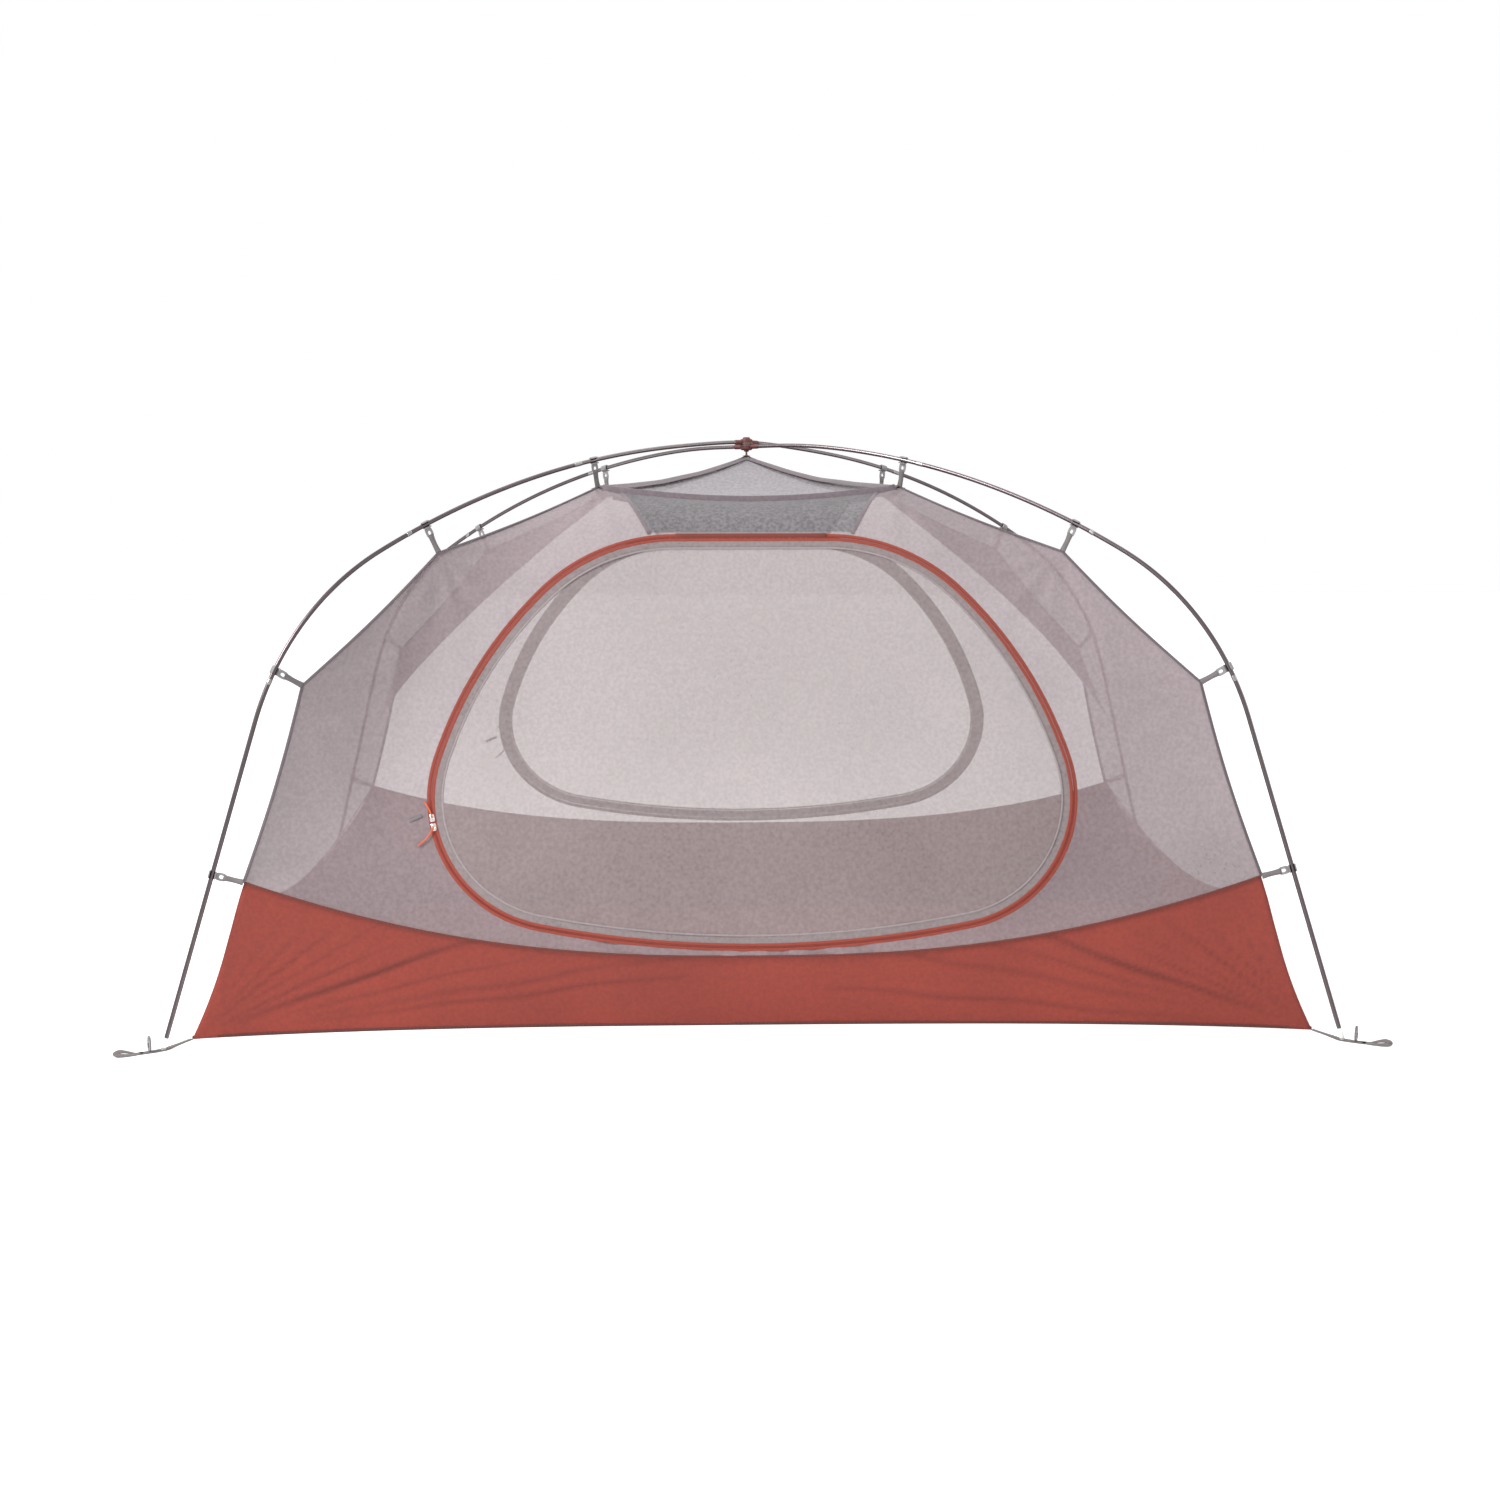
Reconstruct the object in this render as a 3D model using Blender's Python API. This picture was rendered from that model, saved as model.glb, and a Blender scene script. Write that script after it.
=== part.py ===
"""Free-standing two-person tent: fabric tub, canopy, two zipped doors, two crossing poles and their clips.

Metres, +Z up. X runs along the long sides and the front door faces -Y.
The origin is on the ground under the roof peak.
"""

import math

import bmesh
import bpy
from mathutils import Vector

# Driving dimensions
FLOOR_X = 1.135          # half length of the floor at its corners
FLOOR_Y = 0.735          # half width of the floor at its corners
FLOOR_MID_X = 1.100      # half length at the middle of an end edge
FLOOR_MID_Y = 0.660      # half width at the middle of a side edge
TUB_T = 0.0025
WALL_T = 0.0020
SEAM_GAP = 0.0010        # between neighbouring panels
INNER_SETBACK = 2.2      # inner edges stand back this many thicknesses, so panels never cross at a seam

# Ridge, from the tub's top corner to the roof's seam, in the quarter x > 0, y > 0
RIDGE = ((1.020, 0.742, 0.320), (0.916, 0.632, 0.704), (0.659, 0.464, 0.970), (0.336, 0.228, 1.112))
PEAK_Z = 1.190
TUB_MID_Z = {-1: 0.150, 1: 0.222}   # tub height at the middle of the front (-1) and the back (1)
TUB_END_MID = (1.065, 0.190)
END_BULGE = 0.13
ROOF_SAG_FRONT = 0.027
ROOF_SAG_END = 0.017

# Door plane: distance from the middle at its foot, foot height, and slope inwards
DOOR_Y0 = 0.680
DOOR_Z0 = 0.170
DOOR_SLOPE = 0.3406
DOOR_C = 1.0 / math.sqrt(1.0 + DOOR_SLOPE ** 2)

# Zip loop in the door plane: a straight top, then arcs of (radius, angle) down the right side.
# The back door is a little smaller than the front one, over a higher tub.
ZIP_TOP = 0.878
ZIP_TOP_HALF = 0.165
ZIP_ARCS = {-1: ((0.3902, 45.67), (0.8763, 27.89), (0.2807, 95.13), (2.2605, 11.31)),
            1: ((0.3686, 45.67), (0.8265, 27.89), (0.2415, 95.13), (2.2733, 11.31))}
ZIP_STEPS = (6, 3, 18, 3)
ZIP_MID = 0.44           # height of the loop's middle, where the panels' spokes start
ZIP_GAP = 0.0012         # half the space between the two tapes, where the coils mesh
ZIP_TAPE = 0.0060
ZIP_T = 0.0016

# Where the upper and lower sliders sit, in degrees round the centre of the lower corner's arc
SLIDER_DEGREES = {-1: (189.6, 193.6), 1: (189.6, 194.4)}
SLIDER_LEN = 0.016
CORD_R = 0.0011
PULL_LEN = 0.045
PULL_WAYS = ((-0.017, 0.034), (-0.032, -0.040))   # how far along and up the upper and lower pulls lie

# Poles
POLE_R = 0.0045
POLE_BORE = 0.0039
SPIGOT_R = 0.0035
SPIGOT_BORE = 0.0026
SPIGOT_LEN = 0.055
SHOCK_R = 0.0014
PLAN_ANGLE = math.atan(0.70)
CROWN_R, CROWN_ANGLE = 1.9342, 0.5075
SHOULDER_R, LEG_ANGLE = 0.6011, 1.2532
LEG_LEN = 0.670
SECTION_ANGLE = 0.24     # where the crown section meets a leg section
CROSS_LIFT = 0.0049      # pole A rises and pole B drops this much where they cross
CROSS_WIDTH = 0.12

CLIP_WIDTH = 0.016
CLIP_WALL = 0.0028
STRAP_T = 0.0018

SIDES = ((-1, -1, "front_left"), (1, -1, "front_right"), (-1, 1, "back_left"), (1, 1, "back_right"))

for old in list(bpy.data.objects):
    bpy.data.objects.remove(old, do_unlink=True)


def material(name, colour, roughness, metallic=0.0):
    mat = bpy.data.materials.new(name)
    mat.use_nodes = True
    shader = mat.node_tree.nodes["Principled BSDF"]
    shader.inputs["Base Color"].default_value = (*colour, 1.0)
    shader.inputs["Roughness"].default_value = roughness
    shader.inputs["Metallic"].default_value = metallic
    return mat


def make(name, points, faces, colour, roughness=0.8, metallic=0.0, origin=(0.0, 0.0, 0.0), smooth=False):
    """One closed body with its own material, its origin at the given point."""
    origin = Vector(origin)
    mesh = bpy.data.meshes.new(name)
    mesh.from_pydata([Vector(p) - origin for p in points], [], faces)
    bm = bmesh.new()
    bm.from_mesh(mesh)
    bmesh.ops.triangulate(bm, faces=[f for f in bm.faces if len(f.verts) > 4])
    bmesh.ops.recalc_face_normals(bm, faces=bm.faces)
    bm.to_mesh(mesh)
    bm.free()
    for face in mesh.polygons:
        face.use_smooth = smooth
    obj = bpy.data.objects.new(name, mesh)
    obj.location = origin
    obj.data.materials.append(material(name, colour, roughness, metallic))
    bpy.context.scene.collection.objects.link(obj)
    return obj


def loft(loops, closed):
    """Points and faces over closed loops of equal length. Closed joins the last loop to the first."""
    count = len(loops[0])
    points = [p for loop in loops for p in loop]
    faces = []
    last = len(loops) if closed else len(loops) - 1
    for i in range(last):
        a = i * count
        b = ((i + 1) % len(loops)) * count
        for j in range(count):
            k = (j + 1) % count
            faces.append((a + j, a + k, b + k, b + j))
    return points, faces


def cut_alike(faces, count, turned):
    """Four-sided faces cut in two. From loop number turned on, the loops run back on the other skin, so the
    cut runs the other way, and both skins of a thin wall bend alike."""
    out = []
    for a, b, c, d in faces:
        out += [(a, b, c), (a, c, d)] if a // count < turned else [(a, b, d), (b, c, d)]
    return out


def fan(points, faces, start, count, centre):
    """Close one loop to a middle point."""
    middle = len(points)
    points.append(centre)
    for j in range(count):
        faces.append((start + j, start + (j + 1) % count, middle))


def prism(outline, place, low, high):
    """A flat outline pushed from low to high by place(a, b, c)."""
    loops = [[place(a, b, low) for a, b in outline], [place(a, b, high) for a, b in outline]]
    points, faces = loft(loops, False)
    count = len(outline)
    faces.append(tuple(range(count)))
    faces.append(tuple(range(count, 2 * count)))
    return points, faces


def mix(a, b, t):
    return Vector(a) * (1.0 - t) + Vector(b) * t


# Tub and panel edges ------------------------------------------------------------------------------

def door_point(x, w, n, side):
    """World point from the door plane: x along the tent, w up the slope, n outwards."""
    y = DOOR_Y0 - DOOR_SLOPE * DOOR_C * w + DOOR_C * n
    z = DOOR_Z0 + DOOR_C * w + DOOR_SLOPE * DOOR_C * n
    return Vector((x, side * y, z))


def door_normal(side):
    return Vector((0.0, side * DOOR_C, DOOR_SLOPE * DOOR_C))


def tub_side_edge(x, side):
    """Top edge of the tub along a long side."""
    u = abs(x) / RIDGE[0][0]
    low = TUB_MID_Z[side]
    z = low + (RIDGE[0][2] - low) * u ** 2.6
    plane = DOOR_Y0 - DOOR_SLOPE * (z - DOOR_Z0)
    corner = DOOR_Y0 - DOOR_SLOPE * (RIDGE[0][2] - DOOR_Z0)
    y = plane + (RIDGE[0][1] - corner) * u ** 4
    return Vector((x, side * y, z))


def tub_end_edge(s, side):
    """Top edge of the tub along an end, s from -1 to 1."""
    x = TUB_END_MID[0] + (RIDGE[0][0] - TUB_END_MID[0]) * s * s
    z = TUB_END_MID[1] + (RIDGE[0][2] - TUB_END_MID[1]) * s * s
    return Vector((side * x, s * RIDGE[0][1], z))


def floor_edge_side(x, side):
    u = abs(x) / FLOOR_X
    return Vector((x, side * (FLOOR_MID_Y + (FLOOR_Y - FLOOR_MID_Y) * u ** 3), 0.0))


def floor_edge_end(s, side):
    u = abs(s)
    return Vector((side * (FLOOR_MID_X + (FLOOR_X - FLOOR_MID_X) * u ** 3), s * FLOOR_Y, 0.0))


def roof_seam_side(s, side):
    """Seam between a long wall and the roof, s from -1 to 1 along X."""
    sag = 1.0 - s * s
    return Vector((s * RIDGE[3][0], side * (RIDGE[3][1] + 0.004 * sag), RIDGE[3][2] - ROOF_SAG_FRONT * sag))


def roof_seam_end(s, side):
    sag = 1.0 - s * s
    return Vector((side * (RIDGE[3][0] - 0.006 * sag), s * RIDGE[3][1], RIDGE[3][2] - ROOF_SAG_END * sag))


def ridge_at(v):
    """Point on the quarter ridge, v from 0 at the tub to 3 at the roof."""
    i = min(int(v), len(RIDGE) - 2)
    return mix(RIDGE[i], RIDGE[i + 1], v - i)


# Floor tub: flat bottom with a wall turned up all round -------------------------------------------

def build_tub():
    steps_side, steps_end = 12, 8
    low, high = [], []
    for i in range(steps_side):
        t = -1.0 + 2.0 * i / steps_side
        low.append(floor_edge_side(t * FLOOR_X, -1))
        high.append(tub_side_edge(t * RIDGE[0][0], -1))
    for i in range(steps_end):
        t = -1.0 + 2.0 * i / steps_end
        low.append(floor_edge_end(t, 1))
        high.append(tub_end_edge(t, 1))
    for i in range(steps_side):
        t = 1.0 - 2.0 * i / steps_side
        low.append(floor_edge_side(t * FLOOR_X, 1))
        high.append(tub_side_edge(t * RIDGE[0][0], 1))
    for i in range(steps_end):
        t = 1.0 - 2.0 * i / steps_end
        low.append(floor_edge_end(t, -1))
        high.append(tub_end_edge(t, -1))

    def inward(p):
        x_share = min(1.0, max(0.0, (abs(p.x) - 0.9) / 0.1))
        y_share = min(1.0, max(0.0, (abs(p.y) - 0.55) / 0.05))
        return Vector((-math.copysign(TUB_T * x_share, p.x), -math.copysign(TUB_T * y_share, p.y), 0.0))

    loops = []
    for t in (0.0, 0.5, 1.0):
        loops.append([mix(a, b, t) for a, b in zip(low, high)])
    for t in (1.0, 0.5):
        loops.append([mix(a, b, t) + inward(a) for a, b in zip(low, high)])
    floor_in = [a + inward(a) * 1.6 + Vector((0.0, 0.0, TUB_T)) for a in low]
    loops.append(floor_in)
    count = len(low)
    points, faces = loft(loops, False)
    faces = cut_alike(faces, count, 3)
    fan(points, faces, 0, count, Vector((0.0, 0.0, 0.0)))
    fan(points, faces, 5 * count, count, Vector((0.0, 0.0, TUB_T)))
    make("floor_tub", points, faces, (0.42, 0.07, 0.045), 0.6)


# Zip loop -----------------------------------------------------------------------------------------

def zip_loop(offset, side):
    """A zip's line in its door plane, moved outwards by offset, as a closed list of (x, w)."""
    right = [(ZIP_TOP_HALF, ZIP_TOP + offset)]
    x, w, heading = ZIP_TOP_HALF, ZIP_TOP, 0.0
    for (radius, degrees), steps in zip(ZIP_ARCS[side], ZIP_STEPS):
        turn = math.radians(degrees)
        cx = x - radius * math.sin(heading)
        cw = w - radius * math.cos(heading)
        for i in range(1, steps + 1):
            a = heading + turn * i / steps
            right.append((cx + (radius + offset) * math.sin(a), cw + (radius + offset) * math.cos(a)))
        x, w = cx + radius * math.sin(heading + turn), cw + radius * math.cos(heading + turn)
        heading += turn
    right[-1] = (0.0, right[-1][1])
    left = [(-px, pw) for px, pw in reversed(right[:-1])]
    return right + left + [(0.0, ZIP_TOP + offset)]


def corner_arc_centre(side):
    """Centre of the lower corner's arc on the right side."""
    x, w, heading = ZIP_TOP_HALF, ZIP_TOP, 0.0
    for index, (radius, degrees) in enumerate(ZIP_ARCS[side]):
        cx = x - radius * math.sin(heading)
        cw = w - radius * math.cos(heading)
        if index == 2:
            return cx, cw, radius
        heading += math.radians(degrees)
        x, w = cx + radius * math.sin(heading), cw + radius * math.cos(heading)
    return 0.0, 0.0, 0.0


def zip_tape(name, low, high, side, colour):
    """A flat ring that follows the zip between two offsets."""
    loops = []
    for offset, n in ((low, 0.0), (high, 0.0), (high, -ZIP_T), (low, -ZIP_T)):
        loops.append([door_point(x, w, n, side) for x, w in zip_loop(offset, side)])
    points, faces = loft(loops, True)
    return make(name, points, faces, colour, 0.7, origin=door_point(0.0, ZIP_TOP, 0.0, side))


def build_door(name, side):
    offset = -(ZIP_GAP + ZIP_TAPE + SEAM_GAP)
    ring = zip_loop(offset, side)
    half = [(x * 0.5, ZIP_MID + (w - ZIP_MID) * 0.5) for x, w in ring]
    loops = []
    for line, n in ((half, 0.0), (ring, 0.0), (ring, -WALL_T), (half, -WALL_T)):
        loops.append([door_point(x, w, n, side) for x, w in line])
    points, faces = loft(loops, False)
    count = len(ring)
    fan(points, faces, 0, count, door_point(0.0, ZIP_MID, 0.0, side))
    fan(points, faces, 3 * count, count, door_point(0.0, ZIP_MID, -WALL_T, side))
    make(name, points, faces, (0.62, 0.56, 0.57), 0.85, origin=door_point(0.0, ZIP_TOP, 0.0, side))


# Long walls: a ring from the zip to the tub's edge, the ridges and the roof's seam ----------------

def wall_boundary(side):
    """The outer edge of a long wall as a closed list of points, from the bottom middle to the right."""
    edge = [tub_side_edge(RIDGE[0][0] * i / 6, side) for i in range(6)]
    for i in range(3):
        for t in (0.0, 0.5):
            p = mix(RIDGE[i], RIDGE[i + 1], t)
            edge.append(Vector((p.x, side * p.y, p.z)))
    edge += [roof_seam_side(1.0 - i / 3, side) for i in range(4)]
    mirrored = [Vector((-p.x, p.y, p.z)) for p in reversed(edge[1:-1])]
    return edge + mirrored


def flat_of(p, side):
    """Door-plane coordinates of a world point."""
    rel = p - door_point(0.0, 0.0, 0.0, side)
    up = Vector((0.0, -side * DOOR_SLOPE * DOOR_C, DOOR_C))
    return p.x, rel.dot(up), rel.dot(door_normal(side))


def cross_at(line, centre, angle):
    """Where the ray from centre at this angle meets a closed flat line: segment index and share along it."""
    dx, dy = math.cos(angle), math.sin(angle)
    best = None
    for i in range(len(line)):
        ax, ay = line[i][0] - centre[0], line[i][1] - centre[1]
        bx, by = line[(i + 1) % len(line)][0] - centre[0], line[(i + 1) % len(line)][1] - centre[1]
        ex, ey = bx - ax, by - ay
        det = dx * ey - dy * ex
        if abs(det) < 1e-12:
            continue
        reach = (ax * ey - ay * ex) / det
        share = (ax * dy - ay * dx) / det
        if reach > 0.0 and -1e-9 <= share <= 1.0 + 1e-9:
            if best is None or reach > best[2]:
                best = (i, share, reach)
    return best


def build_long_wall(name, side):
    """A long wall, worked out at the back. The front one is then turned half round."""
    centre = (0.0, ZIP_MID)
    inner = zip_loop(ZIP_GAP + ZIP_TAPE + SEAM_GAP, side)
    border = [Vector((side * p.x, side * p.y, p.z)) for p in wall_boundary(side)]
    flat = [flat_of(p, 1) for p in border]
    # One spoke through each bend of the zip, and through each corner of the border that isn't close to one
    spokes = sorted(math.atan2(w - centre[1], x - centre[0]) for x, w in inner)
    for x, w, _ in flat:
        angle = math.atan2(w - centre[1], x - centre[0])
        if min(abs(angle - other) for other in spokes) > 0.006:
            spokes.append(angle)
    spokes.sort()
    shares = (0.0, 0.3, 0.65, 1.0)
    outer_loops = [[] for _ in shares]
    inner_loops = [[] for _ in shares]
    back = -door_normal(1) * WALL_T
    for angle in spokes:
        i, share, _ = cross_at(inner, centre, angle)
        x0 = inner[i][0] + (inner[(i + 1) % len(inner)][0] - inner[i][0]) * share
        w0 = inner[i][1] + (inner[(i + 1) % len(inner)][1] - inner[i][1]) * share
        i, share, _ = cross_at(flat, centre, angle)
        end = mix(flat[i], flat[(i + 1) % len(flat)], share)
        length = math.hypot(end[0] - x0, end[1] - w0)
        for target, setback in ((outer_loops, SEAM_GAP), (inner_loops, SEAM_GAP + INNER_SETBACK * WALL_T)):
            stop = 1.0 - min(0.5, setback / length)
            for index, t in enumerate(shares):
                at = t * stop
                x = x0 + (end[0] - x0) * at
                w = w0 + (end[1] - w0) * at
                p = door_point(x, w, end[2] * at * at, 1)
                if target is inner_loops:
                    p = p + back
                target[index].append(p)
    loops = outer_loops + inner_loops[::-1]
    points, faces = loft(loops, True)
    faces = cut_alike(faces, len(spokes), len(shares))
    points = [Vector((side * p.x, side * p.y, p.z)) for p in points]
    make(name, points, faces, (0.60, 0.54, 0.55), 0.85)


# End walls and roof -------------------------------------------------------------------------------

def sheet(name, grid, inward_hint, colour):
    """A thin closed panel over a grid of points, its edges held back from the seams."""
    rows, cols = len(grid), len(grid[0])

    def held_back(setback):
        out = [[p.copy() for p in row] for row in grid]
        for r in range(rows):
            for c, near in ((0, 1), (cols - 1, cols - 2)):
                way = grid[r][near] - grid[r][c]
                out[r][c] += way.normalized() * min(setback, way.length * 0.5)
        for c in range(cols):
            for r, near in ((0, 1), (rows - 1, rows - 2)):
                way = grid[near][c] - grid[r][c]
                out[r][c] += way.normalized() * min(setback, way.length * 0.5)
        return out

    def normal(r, c):
        across = grid[r][min(c + 1, cols - 1)] - grid[r][max(c - 1, 0)]
        along = grid[min(r + 1, rows - 1)][c] - grid[max(r - 1, 0)][c]
        n = across.cross(along).normalized()
        if n.dot(inward_hint) < 0.0:
            n = -n
        return n

    top = held_back(SEAM_GAP)
    under = held_back(SEAM_GAP + INNER_SETBACK * WALL_T)
    points = [p for row in top for p in row]
    for r in range(rows):
        for c in range(cols):
            points.append(under[r][c] + normal(r, c) * WALL_T)
    half = rows * cols
    faces = []
    for r in range(rows - 1):
        for c in range(cols - 1):
            a, b = r * cols + c, r * cols + c + 1
            d, e = (r + 1) * cols + c, (r + 1) * cols + c + 1
            faces.append((a, b, e, d))
            faces.append((half + a, half + d, half + e, half + b))
    rim = [c for c in range(cols)]
    rim += [r * cols + cols - 1 for r in range(1, rows)]
    rim += [(rows - 1) * cols + c for c in range(cols - 2, -1, -1)]
    rim += [r * cols for r in range(rows - 2, 0, -1)]
    for i in range(len(rim)):
        a, b = rim[i], rim[(i + 1) % len(rim)]
        faces.append((a, half + a, half + b, b))
    make(name, points, faces, colour, 0.85)


def build_end_wall(name, side):
    foot = Vector((TUB_END_MID[0], 0.0, TUB_END_MID[1]))
    head = Vector((RIDGE[3][0] - 0.006, 0.0, RIDGE[3][2] - ROOF_SAG_END))
    grid = []
    for v in (0.0, 0.5, 1.0, 1.5, 2.0, 2.5, 3.0):
        ridge = ridge_at(v)
        middle = mix(foot, head, v / 3.0) + Vector((END_BULGE * math.sin(math.pi * v / 3.0), 0.0, 0.0))
        row = []
        for i in range(9):
            s = -1.0 + i / 4.0
            x = middle.x + (ridge.x - middle.x) * s * s
            z = middle.z + (ridge.z - middle.z) * s * s
            row.append(Vector((side * x, s * ridge.y, z)))
        grid.append(row)
    sheet(name, grid, Vector((-side, 0.0, -0.5)), (0.52, 0.47, 0.50))


def build_roof():
    rim = []
    for i in range(6):
        rim.append(roof_seam_side(-1.0 + i / 3.0, -1))
    for i in range(8):
        rim.append(roof_seam_end(-1.0 + i / 4.0, 1))
    for i in range(6):
        rim.append(roof_seam_side(1.0 - i / 3.0, 1))
    for i in range(8):
        rim.append(roof_seam_end(1.0 - i / 4.0, -1))
    peak = Vector((0.0, 0.0, PEAK_Z))
    drop = Vector((0.0, 0.0, -WALL_T))
    reach = min(p.xy.length for p in rim)
    top = [mix(p, peak, SEAM_GAP * 1.5 / reach) for p in rim]
    under = [mix(p, peak, (SEAM_GAP + INNER_SETBACK * WALL_T) / reach) + drop for p in rim]
    half_top = [mix(p, peak, 0.5) for p in rim]
    half_under = [p + drop for p in half_top]
    points, faces = loft([half_top, top, under, half_under], False)
    fan(points, faces, 0, len(rim), peak)
    fan(points, faces, 3 * len(rim), len(rim), peak + drop)
    make("roof_mesh", points, faces, (0.50, 0.49, 0.50), 0.85)


# Poles --------------------------------------------------------------------------------------------

def pole_flat(s):
    """Distance out from the middle, height and slope angle of a pole at arc length s from its top."""
    crown = CROWN_R * CROWN_ANGLE
    shoulder = SHOULDER_R * (LEG_ANGLE - CROWN_ANGLE)
    if s <= crown:
        a = s / CROWN_R
        return CROWN_R * math.sin(a), -CROWN_R * (1.0 - math.cos(a)), a
    r = CROWN_R * math.sin(CROWN_ANGLE)
    z = -CROWN_R * (1.0 - math.cos(CROWN_ANGLE))
    if s <= crown + shoulder:
        a = CROWN_ANGLE + (s - crown) / SHOULDER_R
        r += SHOULDER_R * (math.sin(a) - math.sin(CROWN_ANGLE))
        z -= SHOULDER_R * (math.cos(CROWN_ANGLE) - math.cos(a))
        return r, z, a
    r += SHOULDER_R * (math.sin(LEG_ANGLE) - math.sin(CROWN_ANGLE))
    z -= SHOULDER_R * (math.cos(CROWN_ANGLE) - math.cos(LEG_ANGLE))
    d = s - crown - shoulder
    return r + d * math.cos(LEG_ANGLE), z - d * math.sin(LEG_ANGLE), LEG_ANGLE


POLE_HALF = CROWN_R * CROWN_ANGLE + SHOULDER_R * (LEG_ANGLE - CROWN_ANGLE) + LEG_LEN
POLE_TOP = -pole_flat(POLE_HALF)[1]


def pole_point(s, sx, sy, lift):
    """World point and direction on a pole at signed arc length s; sx, sy give the corner at positive s."""
    r, z, a = pole_flat(abs(s))
    sign = 1.0 if s >= 0.0 else -1.0
    out = Vector((sx * math.cos(PLAN_ANGLE), sy * math.sin(PLAN_ANGLE), 0.0))
    rise = lift * math.exp(-(r / CROSS_WIDTH) ** 2)
    point = out * (sign * r) + Vector((0.0, 0.0, POLE_TOP + z + rise))
    way = out * math.cos(a) + Vector((0.0, 0.0, -sign * math.sin(a)))
    return point, way


def ring_at(point, way, side_axis, radius, count=10):
    other = way.cross(side_axis).normalized()
    loop = []
    for i in range(count):
        a = 2.0 * math.pi * i / count
        loop.append(point + side_axis * (radius * math.cos(a)) + other * (radius * math.sin(a)))
    return loop


def nearest_on_pole(anchor, sx, sy):
    """The arc length where a pole passes closest to a point."""
    best, found = 9.0, 0.0
    for i in range(2100):
        s = POLE_HALF * i / 2100
        point, _ = pole_point(s, sx, sy, 0.0)
        gap = (point - anchor).length
        if gap < best:
            best, found = gap, s
    return found


CLIP_AT = [nearest_on_pole(Vector(p), 1, 1) for p in RIDGE]


def stations(low, high):
    """Arc lengths from low to high: dense on the bends, sparse on the straight legs."""
    crown = CROWN_R * CROWN_ANGLE
    shoulder = crown + SHOULDER_R * (LEG_ANGLE - CROWN_ANGLE)
    marks = {0.0, crown, shoulder}
    for i in range(1, 10):
        marks.add(crown * i / 10)
    for i in range(1, 8):
        marks.add(crown + (shoulder - crown) * i / 8)
    marks |= {0.03, 0.06}
    # Two stations under each clip keep the tube true inside its hook
    marks = {m for m in marks if all(abs(m - at) > 0.016 for at in CLIP_AT)}
    marks |= {at + way * 0.011 for at in CLIP_AT for way in (-1, 1)}
    # And one at each end of the spigot
    joint = CROWN_R * SECTION_ANGLE
    marks = {m for m in marks if not joint - 0.01 < m < joint + SPIGOT_LEN + 0.01}
    marks |= {joint + SPIGOT_LEN * 0.5, joint + SPIGOT_LEN}
    both = sorted(marks | {-m for m in marks})
    return [low] + [m for m in both if low + 0.004 < m < high - 0.004] + [high]


def build_pole_section(name, sx, sy, lift, rows, colour):
    """A tube from a list of (arc length, outer radius, inner radius)."""
    side_axis = Vector((-sy * math.sin(PLAN_ANGLE), sx * math.cos(PLAN_ANGLE), 0.0))
    outer, inner = [], []
    for s, r_out, r_in in rows:
        point, way = pole_point(s, sx, sy, lift)
        outer.append(ring_at(point, way, side_axis, r_out))
        inner.append(ring_at(point, way, side_axis, r_in))
    points, faces = loft(outer + inner[::-1], True)
    make(name, points, faces, colour, 0.3, 1.0, smooth=True)


TIP_END = 0.0250         # how far up the leg the pole tip's collar reaches


def build_pole(letter, sx, sy, lift):
    joint = CROWN_R * SECTION_ANGLE
    foot = POLE_HALF - TIP_END
    # The crown carries a thin spigot at each end that plugs into a leg section
    rows = [(-joint - SPIGOT_LEN, SPIGOT_R, SPIGOT_BORE), (-joint, SPIGOT_R, SPIGOT_BORE)]
    for s in stations(-joint + 0.0001, joint - 0.0001):
        rows.append((s, POLE_R, SPIGOT_BORE))
    rows += [(joint, SPIGOT_R, SPIGOT_BORE), (joint + SPIGOT_LEN, SPIGOT_R, SPIGOT_BORE)]
    build_pole_section(f"pole_{letter}_crown", sx, sy, lift, rows, (0.62, 0.64, 0.66))
    right = [(s, POLE_R, POLE_BORE) for s in stations(joint + 0.0004, foot - 0.0004)]
    build_pole_section(f"pole_{letter}_right_leg", sx, sy, lift, right, (0.45, 0.46, 0.48))
    left = [(s, POLE_R, POLE_BORE) for s in stations(-foot + 0.0004, -joint - 0.0004)]
    build_pole_section(f"pole_{letter}_left_leg", sx, sy, lift, left, (0.45, 0.46, 0.48))
    # Elastic cord inside, from tip to tip
    side_axis = Vector((-sy * math.sin(PLAN_ANGLE), sx * math.cos(PLAN_ANGLE), 0.0))
    end = foot - 0.022
    loops = []
    for s in stations(-end, end):
        point, way = pole_point(s, sx, sy, lift)
        loops.append(ring_at(point, way, side_axis, SHOCK_R, 6))
    points, faces = loft(loops, False)
    fan(points, faces, 0, 6, pole_point(-end, sx, sy, lift)[0])
    fan(points, faces, (len(loops) - 1) * 6, 6, pole_point(end, sx, sy, lift)[0])
    make(f"shock_cord_{letter}", points, faces, (0.05, 0.05, 0.05), 0.9)


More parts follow.
